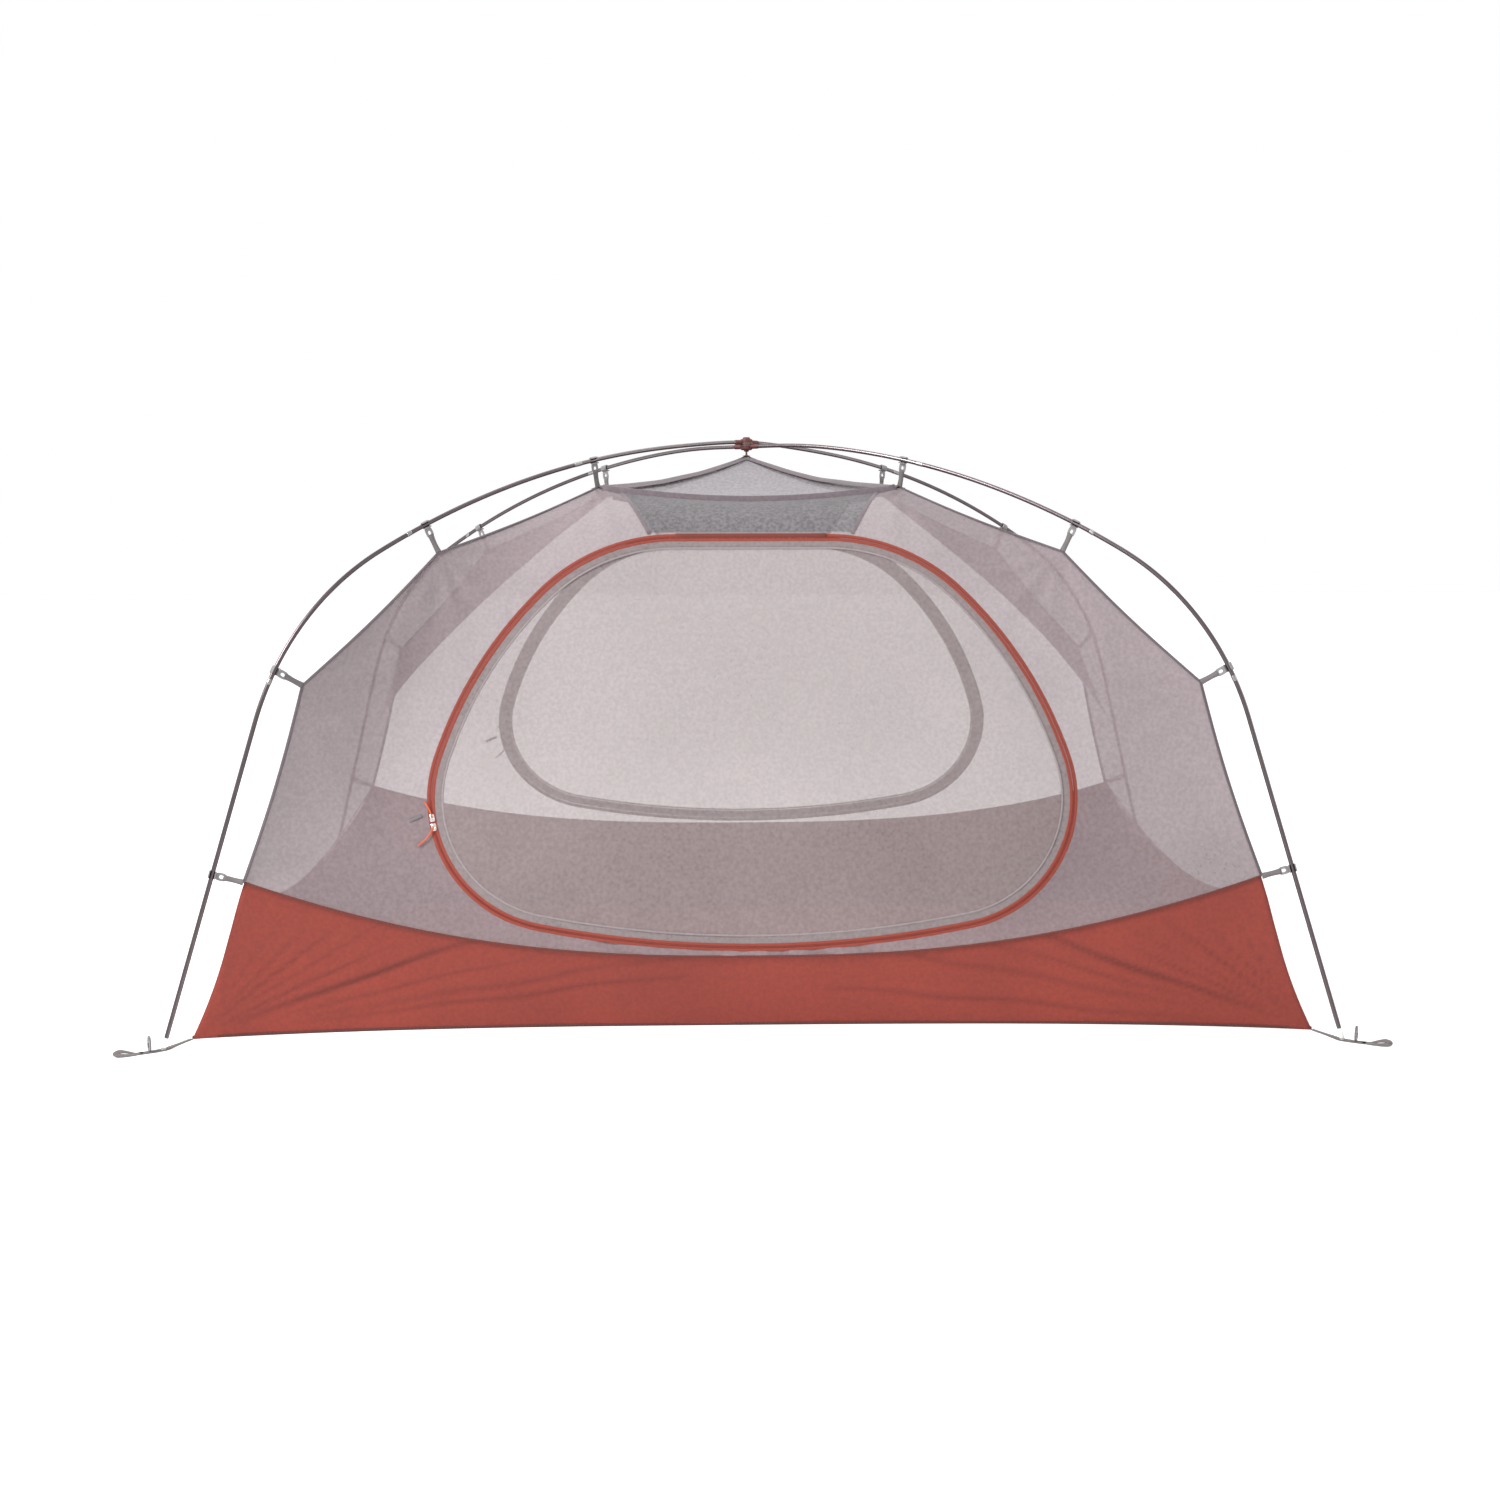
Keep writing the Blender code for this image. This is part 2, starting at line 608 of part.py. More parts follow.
def build_tip(name, sx, sy):
    """Foot of a pole: a pin for the grommet, a collar, and a plug into the tube."""
    profile = ((0.0006, 0.0014), (0.0014, 0.0028), (0.0046, 0.0028), (0.0050, 0.0046), (0.0240, 0.0046),
               (0.0244, 0.0034), (0.0430, 0.0034), (0.0440, 0.0028))
    side_axis = Vector((-sy * math.sin(PLAN_ANGLE), sx * math.cos(PLAN_ANGLE), 0.0))
    loops, centres = [], []
    for up, radius in profile:
        point, way = pole_point(POLE_HALF - up, sx, sy, 0.0)
        loops.append(ring_at(point, way, side_axis, radius, 12))
        centres.append(point)
    points, faces = loft(loops, False)
    fan(points, faces, 0, 12, centres[0])
    fan(points, faces, (len(loops) - 1) * 12, 12, centres[-1])
    make(name, points, faces, (0.85, 0.85, 0.83), 0.5, smooth=True)


def bore(obj, start, end, radius):
    """Cut a round hole through an object."""
    way = (end - start).normalized()
    helper = Vector((0.0, 0.0, 1.0)) if abs(way.z) < 0.9 else Vector((1.0, 0.0, 0.0))
    side_axis = way.cross(helper).normalized()
    loops = [ring_at(start, way, side_axis, radius, 24), ring_at(end, way, side_axis, radius, 24)]
    points, faces = loft(loops, False)
    fan(points, faces, 0, 24, start)
    fan(points, faces, 24, 24, end)
    cutter = make(obj.name + "_cutter", points, faces, (0.5, 0.5, 0.5))
    cut_away(obj, cutter)


def cut_away(obj, cutter):
    cutter.hide_render = True
    cutter.display_type = "WIRE"
    mod = obj.modifiers.new("cut", "BOOLEAN")
    mod.operation = "DIFFERENCE"
    mod.solver = "EXACT"
    mod.object = cutter
    bpy.context.view_layer.update()
    graph = bpy.context.evaluated_depsgraph_get()
    mesh = bpy.data.meshes.new_from_object(obj.evaluated_get(graph))
    obj.modifiers.clear()
    obj.data = mesh
    bpy.data.objects.remove(cutter, do_unlink=True)


def build_hub():
    """Round tie block at the crossing, with one bore for each pole, and the hook under it."""
    low, high = POLE_TOP - CROSS_LIFT - POLE_R - 0.0036, POLE_TOP + CROSS_LIFT + POLE_R + 0.0036
    loops = []
    for z, radius in ((low, 0.0130), (low + 0.002, 0.0150), (high - 0.003, 0.0150), (high, 0.0100),
                      (high + 0.004, 0.0080)):
        loops.append([Vector((radius * math.cos(math.pi * i / 12), radius * math.sin(math.pi * i / 12), z))
                      for i in range(24)])
    points, faces = loft(loops, False)
    fan(points, faces, 0, 24, Vector((0.0, 0.0, low)))
    fan(points, faces, 4 * 24, 24, Vector((0.0, 0.0, high + 0.004)))
    hub = make("pole_hub", points, faces, (0.30, 0.07, 0.05), 0.6, smooth=True)
    for sx, sy, lift in ((1, 1, CROSS_LIFT), (1, -1, -CROSS_LIFT)):
        out = Vector((sx * math.cos(PLAN_ANGLE), sy * math.sin(PLAN_ANGLE), 0.0)) * 0.03
        middle = Vector((0.0, 0.0, POLE_TOP + lift))
        bore(hub, middle - out, middle + out, POLE_R + 0.0004)
    # Hook: a disc on the roof's peak, a stem and a head under the hub
    loops = []
    for z, radius in ((PEAK_Z + 0.0010, 0.0045), (PEAK_Z + 0.0030, 0.0045), (PEAK_Z + 0.0035, 0.0022),
                      (low - 0.0030, 0.0022), (low - 0.0025, 0.0060), (low - 0.0004, 0.0060)):
        loops.append([Vector((radius * math.cos(math.pi * i / 8), radius * math.sin(math.pi * i / 8), z))
                      for i in range(16)])
    points, faces = loft(loops, False)
    fan(points, faces, 0, 16, Vector((0.0, 0.0, PEAK_Z + 0.0010)))
    fan(points, faces, 5 * 16, 16, Vector((0.0, 0.0, low - 0.0004)))
    make("peak_hook", points, faces, (0.30, 0.28, 0.27), 0.5)


# Pole clips ---------------------------------------------------------------------------------------

def clip_frame(index, sx, sy):
    """Where a clip is sewn, its length to the pole, and its three axes."""
    x, y, z = RIDGE[index]
    anchor = Vector((sx * x, sy * y, z))
    s = nearest_on_pole(anchor, sx, sy)
    lift = CROSS_LIFT if sx * sy > 0 else -CROSS_LIFT
    point, along = pole_point(s, sx, sy, lift)
    up = point - anchor
    up = (up - along * up.dot(along))
    reach = up.length
    up.normalize()
    anchor = point - up * reach
    across = along.cross(up).normalized()
    if across.x * sx < 0.0:
        across = -across
    return anchor, reach, up, across, along


def build_clip(name, index, sx, sy):
    """A hook round the pole, open on one side, on a flat strap sewn to the ridge."""
    anchor, reach, up, across, along = clip_frame(index, sx, sy)
    inner = POLE_R + 0.0005
    outer = inner + CLIP_WALL
    mouth = -0.0078
    outline = [(0.0016, -STRAP_T / 2), (reach - outer - 0.004, -STRAP_T / 2), (reach - outer - 0.0005, -0.0045),
               (reach - inner - 0.0034, mouth), (reach - inner - 0.0010, mouth)]
    for i in range(7):
        a = -math.pi / 2 + math.pi * i / 6
        outline.append((reach + inner * math.sin(a), inner * math.cos(a)))
    outline += [(reach + inner + 0.0002, mouth), (reach + outer - 0.0006, mouth)]
    for i in range(7):
        a = math.pi / 2 - math.pi * i / 6
        outline.append((reach + outer * math.sin(a), outer * math.cos(a)))
    outline += [(reach - outer - 0.004, STRAP_T / 2 + 0.0006), (reach - outer - 0.006, STRAP_T / 2),
                (0.0016, STRAP_T / 2)]

    def place(a, b, c):
        return anchor + up * a + across * b + along * c

    points, faces = prism(outline, place, -CLIP_WIDTH / 2, CLIP_WIDTH / 2)
    make(name, points, faces, (0.36, 0.35, 0.36), 0.5, origin=anchor)


# Corners ------------------------------------------------------------------------------------------

WEBBING_T = 0.0020
LOOP_REACH = 0.100       # from the pole's foot to the far end of the stake loop
BUCKLE_OUT = 0.026       # from the pole's foot to the buckle
BUCKLE_RISE = 0.0023     # from the webbing up to the buckle's hinge


def foot_point(sx, sy):
    return pole_point(POLE_HALF, sx, sy, 0.0)[0]


def corner_axes(sx, sy):
    out = Vector((sx * 0.846, sy * 0.533, 0.0))
    return out, Vector((-out.y, out.x, 0.0))


def build_corner(place_name, sx, sy):
    """Flat webbing from the floor's corner through the grommet to the stake loop, and the buckle on it."""
    start = Vector((sx * FLOOR_X, sy * FLOOR_Y, 0.0))
    foot = foot_point(sx, sy)
    foot.z = 0.0
    inner_way = (foot - start).normalized()
    inner_side = Vector((-inner_way.y, inner_way.x, 0.0))
    out, side = corner_axes(sx, sy)
    line = ((start + inner_way * 0.0020, inner_side, 0.0070), (foot - inner_way * 0.016, inner_side, 0.0095),
            (foot, (inner_side + side).normalized(), 0.0115), (foot + out * 0.018, side, 0.0105),
            (foot + out * (LOOP_REACH - 0.012), side, 0.0130), (foot + out * LOOP_REACH, side, 0.0085))
    left = [p + s * w for p, s, w in line]
    right = [p - s * w for p, s, w in line]
    outline = [(p.x, p.y) for p in left + right[::-1]]

    def place(a, b, c):
        return Vector((a, b, c))

    points, faces = prism(outline, place, 0.0, WEBBING_T)
    web = make(f"corner_webbing_{place_name}", points, faces, (0.20, 0.18, 0.18), 0.8)
    up_bit = pole_point(POLE_HALF - 0.0012, sx, sy, 0.0)[0]
    hole = Vector((up_bit.x, up_bit.y, -0.01))
    bore(web, hole, hole + Vector((0.0, 0.0, 0.02)), 0.0046)
    slot = []
    for a, b in ((0.046, -0.0055), (0.084, -0.0080), (0.084, 0.0080), (0.046, 0.0055)):
        p = foot + out * a + side * b
        slot.append((p.x, p.y))
    points, faces = prism(slot, place, -0.01, 0.01)
    cut_away(web, make("slot_cutter", points, faces, (0.5, 0.5, 0.5)))
    # Buckle: an upright frame with one window, hinged on its lower bar
    base = foot + out * BUCKLE_OUT
    pivot = base + Vector((0.0, 0.0, WEBBING_T + BUCKLE_RISE))
    frame = ((-0.0110, -0.0015), (0.0110, -0.0015), (0.0110, 0.0200), (0.0060, 0.0290), (-0.0060, 0.0290),
             (-0.0110, 0.0200))
    window = ((-0.0070, 0.0040), (0.0070, 0.0040), (0.0070, 0.0140), (0.0040, 0.0170), (-0.0040, 0.0170),
              (-0.0070, 0.0140))
    loops = []
    for line, c in ((frame, -0.0014), (frame, 0.0014), (window, 0.0014), (window, -0.0014)):
        loops.append([pivot + side * a + Vector((0.0, 0.0, b)) + out * c for a, b in line])
    points, faces = loft(loops, True)
    make(f"corner_buckle_{place_name}", points, faces, (0.16, 0.15, 0.15), 0.5, origin=pivot)


# Zip sliders and their pulls ----------------------------------------------------------------------

def build_slider(name, side, degrees, pull):
    """Slider on the lower corner's arc: a wide face outside, and a short one behind the door's tape."""
    cx, cw, radius = corner_arc_centre(side)
    cx = -cx
    angle = math.radians(degrees)
    radial = (math.cos(angle), math.sin(angle))
    track = (-radial[1], radial[0])

    def place(a, b, c):
        x = cx + radial[0] * (radius + a) + track[0] * c
        w = cw + radial[1] * (radius + a) + track[1] * c
        return door_point(x, w, b, side)

    # Offsets point away from the arc's centre, so the door's tape is on the negative side
    outline = ((-0.0052, 0.0006), (-0.0007, 0.0006), (-0.0007, -0.0022), (-0.0052, -0.0022), (-0.0052, -0.0036),
               (0.0007, -0.0036), (0.0007, 0.0006), (0.0052, 0.0006), (0.0052, 0.0020), (0.0012, 0.0022),
               (0.0012, 0.0044), (-0.0012, 0.0044), (-0.0012, 0.0022), (-0.0052, 0.0020))
    points, faces = prism(outline, place, -SLIDER_LEN / 2, SLIDER_LEN / 2)
    pivot = door_point(cx, cw, 0.0, side)
    make(f"zip_slider_{name}", points, faces, (0.75, 0.74, 0.72), 0.25, 1.0, origin=pivot)
    # Pull cord: lies on the wall beside the zip, from the slider's crown
    start_x = cx + radial[0] * radius
    start_w = cw + radial[1] * radius
    curve = bpy.data.curves.new(f"zip_pull_{name}", "CURVE")
    curve.dimensions = "3D"
    curve.bevel_depth = CORD_R
    curve.bevel_resolution = 2
    curve.use_fill_caps = True
    count = 10
    line = curve.splines.new("POLY")
    line.points.add(count - 1)
    for i in range(count):
        t = i / (count - 1)
        bend = 0.004 * math.sin(math.pi * t)
        x = start_x + pull[0] * t + bend * abs(pull[1]) / PULL_LEN
        w = start_w + pull[1] * t + bend * pull[0] / PULL_LEN
        p = door_point(x, w, 0.0060 - 0.0006 * math.sin(math.pi * t), side) - pivot
        line.points[i].co = (p.x, p.y, p.z, 1.0)
    curve.materials.append(material(f"zip_pull_{name}", (0.70, 0.16, 0.06), 0.8))
    cord = bpy.data.objects.new(f"zip_pull_{name}", curve)
    cord.location = pivot
    bpy.context.scene.collection.objects.link(cord)


build_tub()
for side, word in ((-1, "front"), (1, "back")):
    build_long_wall(f"{word}_wall", side)
    build_door(f"{word}_door", side)
    wall_side = (ZIP_GAP, ZIP_GAP + ZIP_TAPE)
    zip_tape(f"{word}_zip_wall_side", wall_side[0], wall_side[1], side, (0.62, 0.12, 0.05))
    zip_tape(f"{word}_zip_door_side", -wall_side[1], -wall_side[0], side, (0.62, 0.12, 0.05))
    build_slider(f"{word}_upper", side, SLIDER_DEGREES[side][0], PULL_WAYS[0])
    build_slider(f"{word}_lower", side, SLIDER_DEGREES[side][1], PULL_WAYS[1])
build_end_wall("left_end_wall", -1)
build_end_wall("right_end_wall", 1)
build_roof()
build_pole("a", 1, 1, CROSS_LIFT)
build_pole("b", 1, -1, -CROSS_LIFT)
build_hub()
for sx, sy, word in SIDES:
    for index in range(4):
        build_clip(f"clip_{word}_{index + 1}", index, sx, sy)
    build_tip(f"pole_tip_{word}", sx, sy)
    build_corner(word, sx, sy)
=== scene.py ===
"""Fine surface, materials, light and camera of the two-person tent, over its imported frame.

Metres, +Z up, in the part's own frame: X runs along the long sides and the front door faces -Y.
Every fabric panel is one continuous sheet, shaped here and held by its seams, with its wrinkles as geometry.
"""
import math

import bmesh
import bpy
from mathutils import Matrix, Vector, noise


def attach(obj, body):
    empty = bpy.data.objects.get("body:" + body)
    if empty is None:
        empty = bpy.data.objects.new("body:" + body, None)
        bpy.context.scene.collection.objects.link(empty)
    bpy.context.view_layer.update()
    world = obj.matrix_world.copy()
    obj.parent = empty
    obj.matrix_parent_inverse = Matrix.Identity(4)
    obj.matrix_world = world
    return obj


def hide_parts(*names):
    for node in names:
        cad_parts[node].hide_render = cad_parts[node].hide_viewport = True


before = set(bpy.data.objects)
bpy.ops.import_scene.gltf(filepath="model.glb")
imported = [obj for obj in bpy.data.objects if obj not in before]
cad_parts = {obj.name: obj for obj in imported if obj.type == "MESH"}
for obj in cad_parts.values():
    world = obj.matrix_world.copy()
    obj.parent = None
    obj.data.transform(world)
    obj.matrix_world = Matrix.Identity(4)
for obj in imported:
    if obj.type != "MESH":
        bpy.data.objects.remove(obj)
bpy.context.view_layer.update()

# Driving dimensions, as in the part
FLOOR_X, FLOOR_Y = 1.135, 0.735
FLOOR_MID_X, FLOOR_MID_Y = 1.100, 0.660
RIDGE = ((1.020, 0.742, 0.320), (0.916, 0.632, 0.704), (0.659, 0.464, 0.970), (0.336, 0.228, 1.112))
PEAK_Z = 1.190
TUB_MID_Z = {-1: 0.150, 1: 0.222}   # at the front (-1) and the back (1)
TUB_END_MID = (1.065, 0.190)
END_BULGE = 0.13
ROOF_SAG_FRONT, ROOF_SAG_END = 0.027, 0.017
DOOR_Y0, DOOR_Z0, DOOR_SLOPE = 0.680, 0.170, 0.3406
DOOR_C = 1.0 / math.sqrt(1.0 + DOOR_SLOPE ** 2)
DOOR_MID_W = 0.44        # height of the doors' middle up their slope
ZIP_TOP, ZIP_TOP_HALF = 0.878, 0.165
ZIP_ARCS = {-1: ((0.3902, 45.67), (0.8763, 27.89), (0.2807, 95.13), (2.2605, 11.31)),
            1: ((0.3686, 45.67), (0.8265, 27.89), (0.2415, 95.13), (2.2733, 11.31))}
SLIDER_DEGREES = {-1: {"upper": 189.6, "lower": 193.6}, 1: {"upper": 189.6, "lower": 194.4}}
PULLS = {"upper": (-0.017, 0.034), "lower": (-0.032, -0.040)}
PULL_LEN, CORD_R = 0.045, 0.0017
POLE_R = 0.0045
PLAN_ANGLE = math.atan(0.70)
CROWN_R, CROWN_ANGLE = 1.9342, 0.5075
SHOULDER_R, LEG_ANGLE, LEG_LEN = 0.6011, 1.2532, 0.670
SECTION_ANGLE = 0.24
UP = Vector((0.0, 0.0, 1.0))
ZIP_EDGE = 0.0066        # from the zip's middle to the cloth on either side
FACING_INSET = 0.0240    # from the zip's middle in to the door's facing tape
CROSS_LIFT, CROSS_WIDTH = 0.0049, 0.12
TIP_END = 0.0250
WEBBING_T, BUCKLE_OUT, BUCKLE_RISE = 0.0020, 0.026, 0.0023
QUARTERS = ((-1, -1, "front_left"), (1, -1, "front_right"), (-1, 1, "back_left"), (1, 1, "back_right"))
FACES = ((-1, "front"), (1, "back"))

# The photograph's viewing angle
CAMERA_AT = (-0.1054, -4.4778, 0.9961)
CAMERA_TURN, CAMERA_DOWN, CAMERA_ROLL = 0.0251, 0.1107, -0.0019
CAMERA_LENS = 45.37
# Lamps: name, place, size in metres, power in watts
LAMPS = (("key", (-3.4, -2.6, 3.6), 1.4, 230.0), ("top", (0.6, 0.4, 4.6), 3.0, 45.0),
         ("side", (4.4, -1.6, 2.4), 2.0, 22.0))
LAMP_TARGET = Vector((0.0, 0.0, 0.4))


# Camera, stage and light --------------------

def placed(name, data):
    """A new object in the scene."""
    obj = bpy.data.objects.new(name, data)
    bpy.context.scene.collection.objects.link(obj)
    return obj


def build_camera():
    data = bpy.data.cameras.new("camera")
    data.lens = CAMERA_LENS
    data.sensor_width = 36.0
    data.clip_end = 200.0
    camera = placed("camera", data)
    turn = Matrix.Rotation(-CAMERA_TURN, 4, "Z") @ Matrix.Rotation(math.pi / 2 - CAMERA_DOWN, 4, "X")
    camera.matrix_world = Matrix.Translation(CAMERA_AT) @ turn @ Matrix.Rotation(CAMERA_ROLL, 4, "Z")
    bpy.context.scene.camera = camera


def build_light():
    world = bpy.data.worlds.new("studio")
    world.use_nodes = True
    background = world.node_tree.nodes["Background"]
    background.inputs["Color"].default_value = (1.0, 1.0, 1.0, 1.0)
    background.inputs["Strength"].default_value = 1.0
    bpy.context.scene.world = world
    bpy.context.scene.view_settings.view_transform = "Standard"
    for name, place, size, power in LAMPS:
        data = bpy.data.lights.new(name, "AREA")
        data.size = size
        data.energy = power
        lamp = placed(name, data)
        lamp.location = place
        lamp.rotation_euler = (LAMP_TARGET - Vector(place)).to_track_quat("-Z", "Y").to_euler()


# Materials --------------------

def principled(name, roughness, metallic=0.0, alpha=1.0, sheen=0.0, specular=0.5, coat=0.0):
    mat = bpy.data.materials.new(name)
    mat.use_nodes = True
    shader = mat.node_tree.nodes["Principled BSDF"]
    for label, value in (("Roughness", roughness), ("Metallic", metallic), ("Alpha", alpha),
                         ("Sheen Weight", sheen), ("Specular IOR Level", specular), ("Coat Weight", coat)):
        shader.inputs[label].default_value = value
    return mat, mat.node_tree, shader


def add_node(tree, kind, **values):
    """A new shader node with the values of its inputs."""
    node = tree.nodes.new("ShaderNode" + kind)
    for name, value in values.items():
        node.inputs[name].default_value = value
    return node


def lattice(tree, pitch):
    """A woven grid in the object's own space, as a value from 0 to 1."""
    coords = add_node(tree, "TexCoord")
    total = None
    for axis in ("X", "Y", "Z"):
        wave = add_node(tree, "TexWave", Scale=0.314 / pitch, Distortion=0.4, Detail=1.0)
        wave.bands_direction = axis
        tree.links.new(coords.outputs["Object"], wave.inputs["Vector"])
        if total is None:
            total = wave.outputs["Fac"]
            continue
        pair = add_node(tree, "Math")
        pair.operation = "MAXIMUM"
        tree.links.new(total, pair.inputs[0])
        tree.links.new(wave.outputs["Fac"], pair.inputs[1])
        total = pair.outputs[0]
    return total


def clouds(tree, scale, detail=3.0):
    coords = add_node(tree, "TexCoord")
    cloud = add_node(tree, "TexNoise", Scale=scale, Detail=detail)
    tree.links.new(coords.outputs["Object"], cloud.inputs["Vector"])
    return cloud.outputs["Fac"]


def ramp(tree, value, low, high, start=0.3, end=0.7):
    node = add_node(tree, "ValToRGB")
    for step, place, colour in zip(node.color_ramp.elements, (start, end), (low, high)):
        step.position = place
        step.color = (*colour, 1.0)
    tree.links.new(value, node.inputs["Fac"])
    return node.outputs["Color"]


def blended(tree, first, second, share):
    """The first colour multiplied by the second, as far as share says."""
    node = add_node(tree, "Mix")
    node.data_type = "RGBA"
    node.blend_type = "MULTIPLY"
    node.inputs[0].default_value = share
    tree.links.new(first, node.inputs[6])
    tree.links.new(second, node.inputs[7])
    return node.outputs[2]


def bumped(tree, shader, value, strength, distance):
    bump = add_node(tree, "Bump", Strength=strength, Distance=distance)
    tree.links.new(value, bump.inputs["Height"])
    tree.links.new(bump.outputs["Normal"], shader.inputs["Normal"])


def grey(value):
    return value, value, value


def tones(colour, spread):
    """A darker and a lighter tone of one colour."""
    return tuple(c * (1.0 - spread) for c in colour), tuple(min(1.0, c * (1.0 + spread)) for c in colour)


def cloth(name, colour, pitch, roughness=0.8, alpha=1.0, sheen=0.15, spread=0.06, weave=0.25, mottle=0.05):
    """Woven fabric: slow and quick changes of tone, a fine grid of threads, and a slight sheen."""
    mat, tree, shader = principled(name, roughness, alpha=alpha, sheen=sheen, specular=0.3)
    low, high = tones(colour, spread)
    slow = ramp(tree, clouds(tree, 3.5), low, high)
    quick = ramp(tree, clouds(tree, 130.0, 4.0), grey(1.0 - 2.0 * mottle), grey(1.0), 0.35, 0.65)
    slow = blended(tree, slow, quick, 1.0)
    grid = lattice(tree, pitch)
    threads = ramp(tree, grid, grey(0.80), grey(1.0), 0.2, 0.9)
    tree.links.new(blended(tree, slow, threads, weave), shader.inputs["Base Color"])
    bumped(tree, shader, grid, 0.35, pitch * 0.15)
    return mat


def darken_by_painted_shade(mat, layer):
    """Darken a fabric by painted shade stored at its points, deepest in its folds."""
    tree = mat.node_tree
    target = tree.nodes["Principled BSDF"].inputs["Base Color"]
    source = target.links[0].from_socket
    stored = tree.nodes.new("ShaderNodeVertexColor")
    stored.layer_name = layer
    tree.links.new(blended(tree, source, stored.outputs["Color"], 1.0), target)


# Painted shade: one grey value for each point, kept as a colour layer
def store_painted_shade(obj, painted_shades, layer):
    data = obj.data.color_attributes.new(layer, "FLOAT_COLOR", "POINT").data
    for spot, value in zip(data, painted_shades):
        spot.color = (*grey(value), 1.0)


def moulded(name, colour, roughness, coat=0.0):
    """Moulded plastic with a fine grain."""
    mat, tree, shader = principled(name, roughness, coat=coat)
    low, high = tones(colour, 0.08)
    tree.links.new(ramp(tree, clouds(tree, 60.0), low, high), shader.inputs["Base Color"])
    bumped(tree, shader, clouds(tree, 900.0), 0.15, 0.0001)
    return mat


def metal(name, colour, roughness):
    mat, tree, shader = principled(name, roughness, metallic=1.0)
    low, high = tones(colour, 0.08)
    tree.links.new(ramp(tree, clouds(tree, 40.0, 4.0), low, high), shader.inputs["Base Color"])
    bumped(tree, shader, clouds(tree, 1400.0, 2.0), 0.05, 0.00005)
    return mat


MATERIALS = {}


def build_materials():
    m = MATERIALS
    m["wall"] = cloth("wall_mesh", (0.336, 0.272, 0.286), 0.0016, alpha=0.58, spread=0.08, mottle=0.09)
    m["door"] = cloth("door_mesh", (0.348, 0.290, 0.292), 0.0016, alpha=0.56, spread=0.06, mottle=0.09)
    # End walls: the same mesh cloth, with painted shade making its colour darker than the long walls' mesh
    m["end"] = cloth("end_mesh_painted_shade", (0.205, 0.155, 0.175), 0.0018, alpha=0.84, spread=0.12, mottle=0.14)
    m["roof"] = cloth("roof_mesh", (0.300, 0.272, 0.292), 0.0022, alpha=0.60, spread=0.10, mottle=0.15)
    m["vent"] = cloth("vent_mesh", (0.175, 0.166, 0.176), 0.0026, alpha=0.74, spread=0.10, weave=0.4,
                      mottle=0.20)
    m["band"] = cloth("band_fabric", (0.145, 0.116, 0.128), 0.0010, sheen=0.25, mottle=0.10)
    m["seam_strip"] = cloth("seam_strip", (0.160, 0.128, 0.138), 0.0010, mottle=0.10)
    m["facing"] = cloth("door_facing", (0.250, 0.208, 0.214), 0.0010)
    m["binding"] = cloth("ridge_binding", (0.110, 0.088, 0.097), 0.0010, roughness=0.85)
    m["tub"] = cloth("tub_fabric", (0.228, 0.032, 0.020), 0.0050, roughness=0.55, sheen=0.1, spread=0.10,
                     weave=0.12, mottle=0.07)
    # Painted shade in the tub's folds, read from the "folds" colour layer
    darken_by_painted_shade(m["tub"], "folds")
    m["tub_edge"] = cloth("tub_edge", (0.140, 0.026, 0.018), 0.0010)
    m["hem"] = cloth("tub_hem", (0.100, 0.026, 0.021), 0.0010)
    m["tape"] = cloth("zip_tape", (0.250, 0.042, 0.026), 0.0008, roughness=0.75)
    m["tape_end"] = cloth("zip_tape_sewn", (0.140, 0.030, 0.022), 0.0008)
    m["coil"] = moulded("zip_coil", (0.225, 0.038, 0.024), 0.40)
    m["back_tape"] = cloth("zip_lining", (0.095, 0.076, 0.080), 0.0008)
    m["strap"] = cloth("clip_strap", (0.150, 0.134, 0.137), 0.0012)
    m["webbing"] = cloth("corner_webbing", (0.150, 0.132, 0.130), 0.0016, weave=0.5)
    m["pale_thread"] = cloth("pale_thread", (0.300, 0.255, 0.258), 0.0006)
    m["dark_thread"] = cloth("dark_thread", (0.090, 0.060, 0.060), 0.0006)
    m["red_thread"] = cloth("red_thread", (0.300, 0.058, 0.035), 0.0006)
    m["cord"] = cloth("pull_cord", (0.560, 0.105, 0.045), 0.0007, weave=0.6)
    m["elastic"] = cloth("elastic_cord", (0.030, 0.030, 0.032), 0.0008, weave=0.6)
    m["clip"] = moulded("clip_plastic", (0.190, 0.180, 0.181), 0.32, coat=0.2)
    m["buckle"] = moulded("buckle_plastic", (0.120, 0.108, 0.108), 0.40)
    m["tip"] = moulded("tip_plastic", (0.760, 0.760, 0.740), 0.45)
    m["hub"] = moulded("hub_plastic", (0.100, 0.022, 0.018), 0.50)
    m["hook"] = moulded("hook_plastic", (0.140, 0.060, 0.050), 0.45)
    m["pole"] = metal("pole_tube", (0.175, 0.150, 0.155), 0.26)
    m["leg"] = metal("pole_leg", (0.120, 0.098, 0.104), 0.28)
    m["ferrule"] = metal("pole_ferrule", (0.300, 0.290, 0.290), 0.30)
    m["nickel"] = metal("slider_metal", (0.700, 0.680, 0.650), 0.20)
    m["grommet"] = metal("grommet_metal", (0.420, 0.400, 0.380), 0.32)
    m["stage"] = stage_material()


def stage_material():
    mat, tree, shader = principled("pale_floor", 0.7, specular=0.1)
    shader.inputs["Emission Color"].default_value = (*grey(1.0), 1.0)
    shader.inputs["Emission Strength"].default_value = 0.20
    tree.links.new(ramp(tree, clouds(tree, 0.5), grey(0.93), grey(0.95)), shader.inputs["Base Color"])
    return mat


# Mesh helpers --------------------

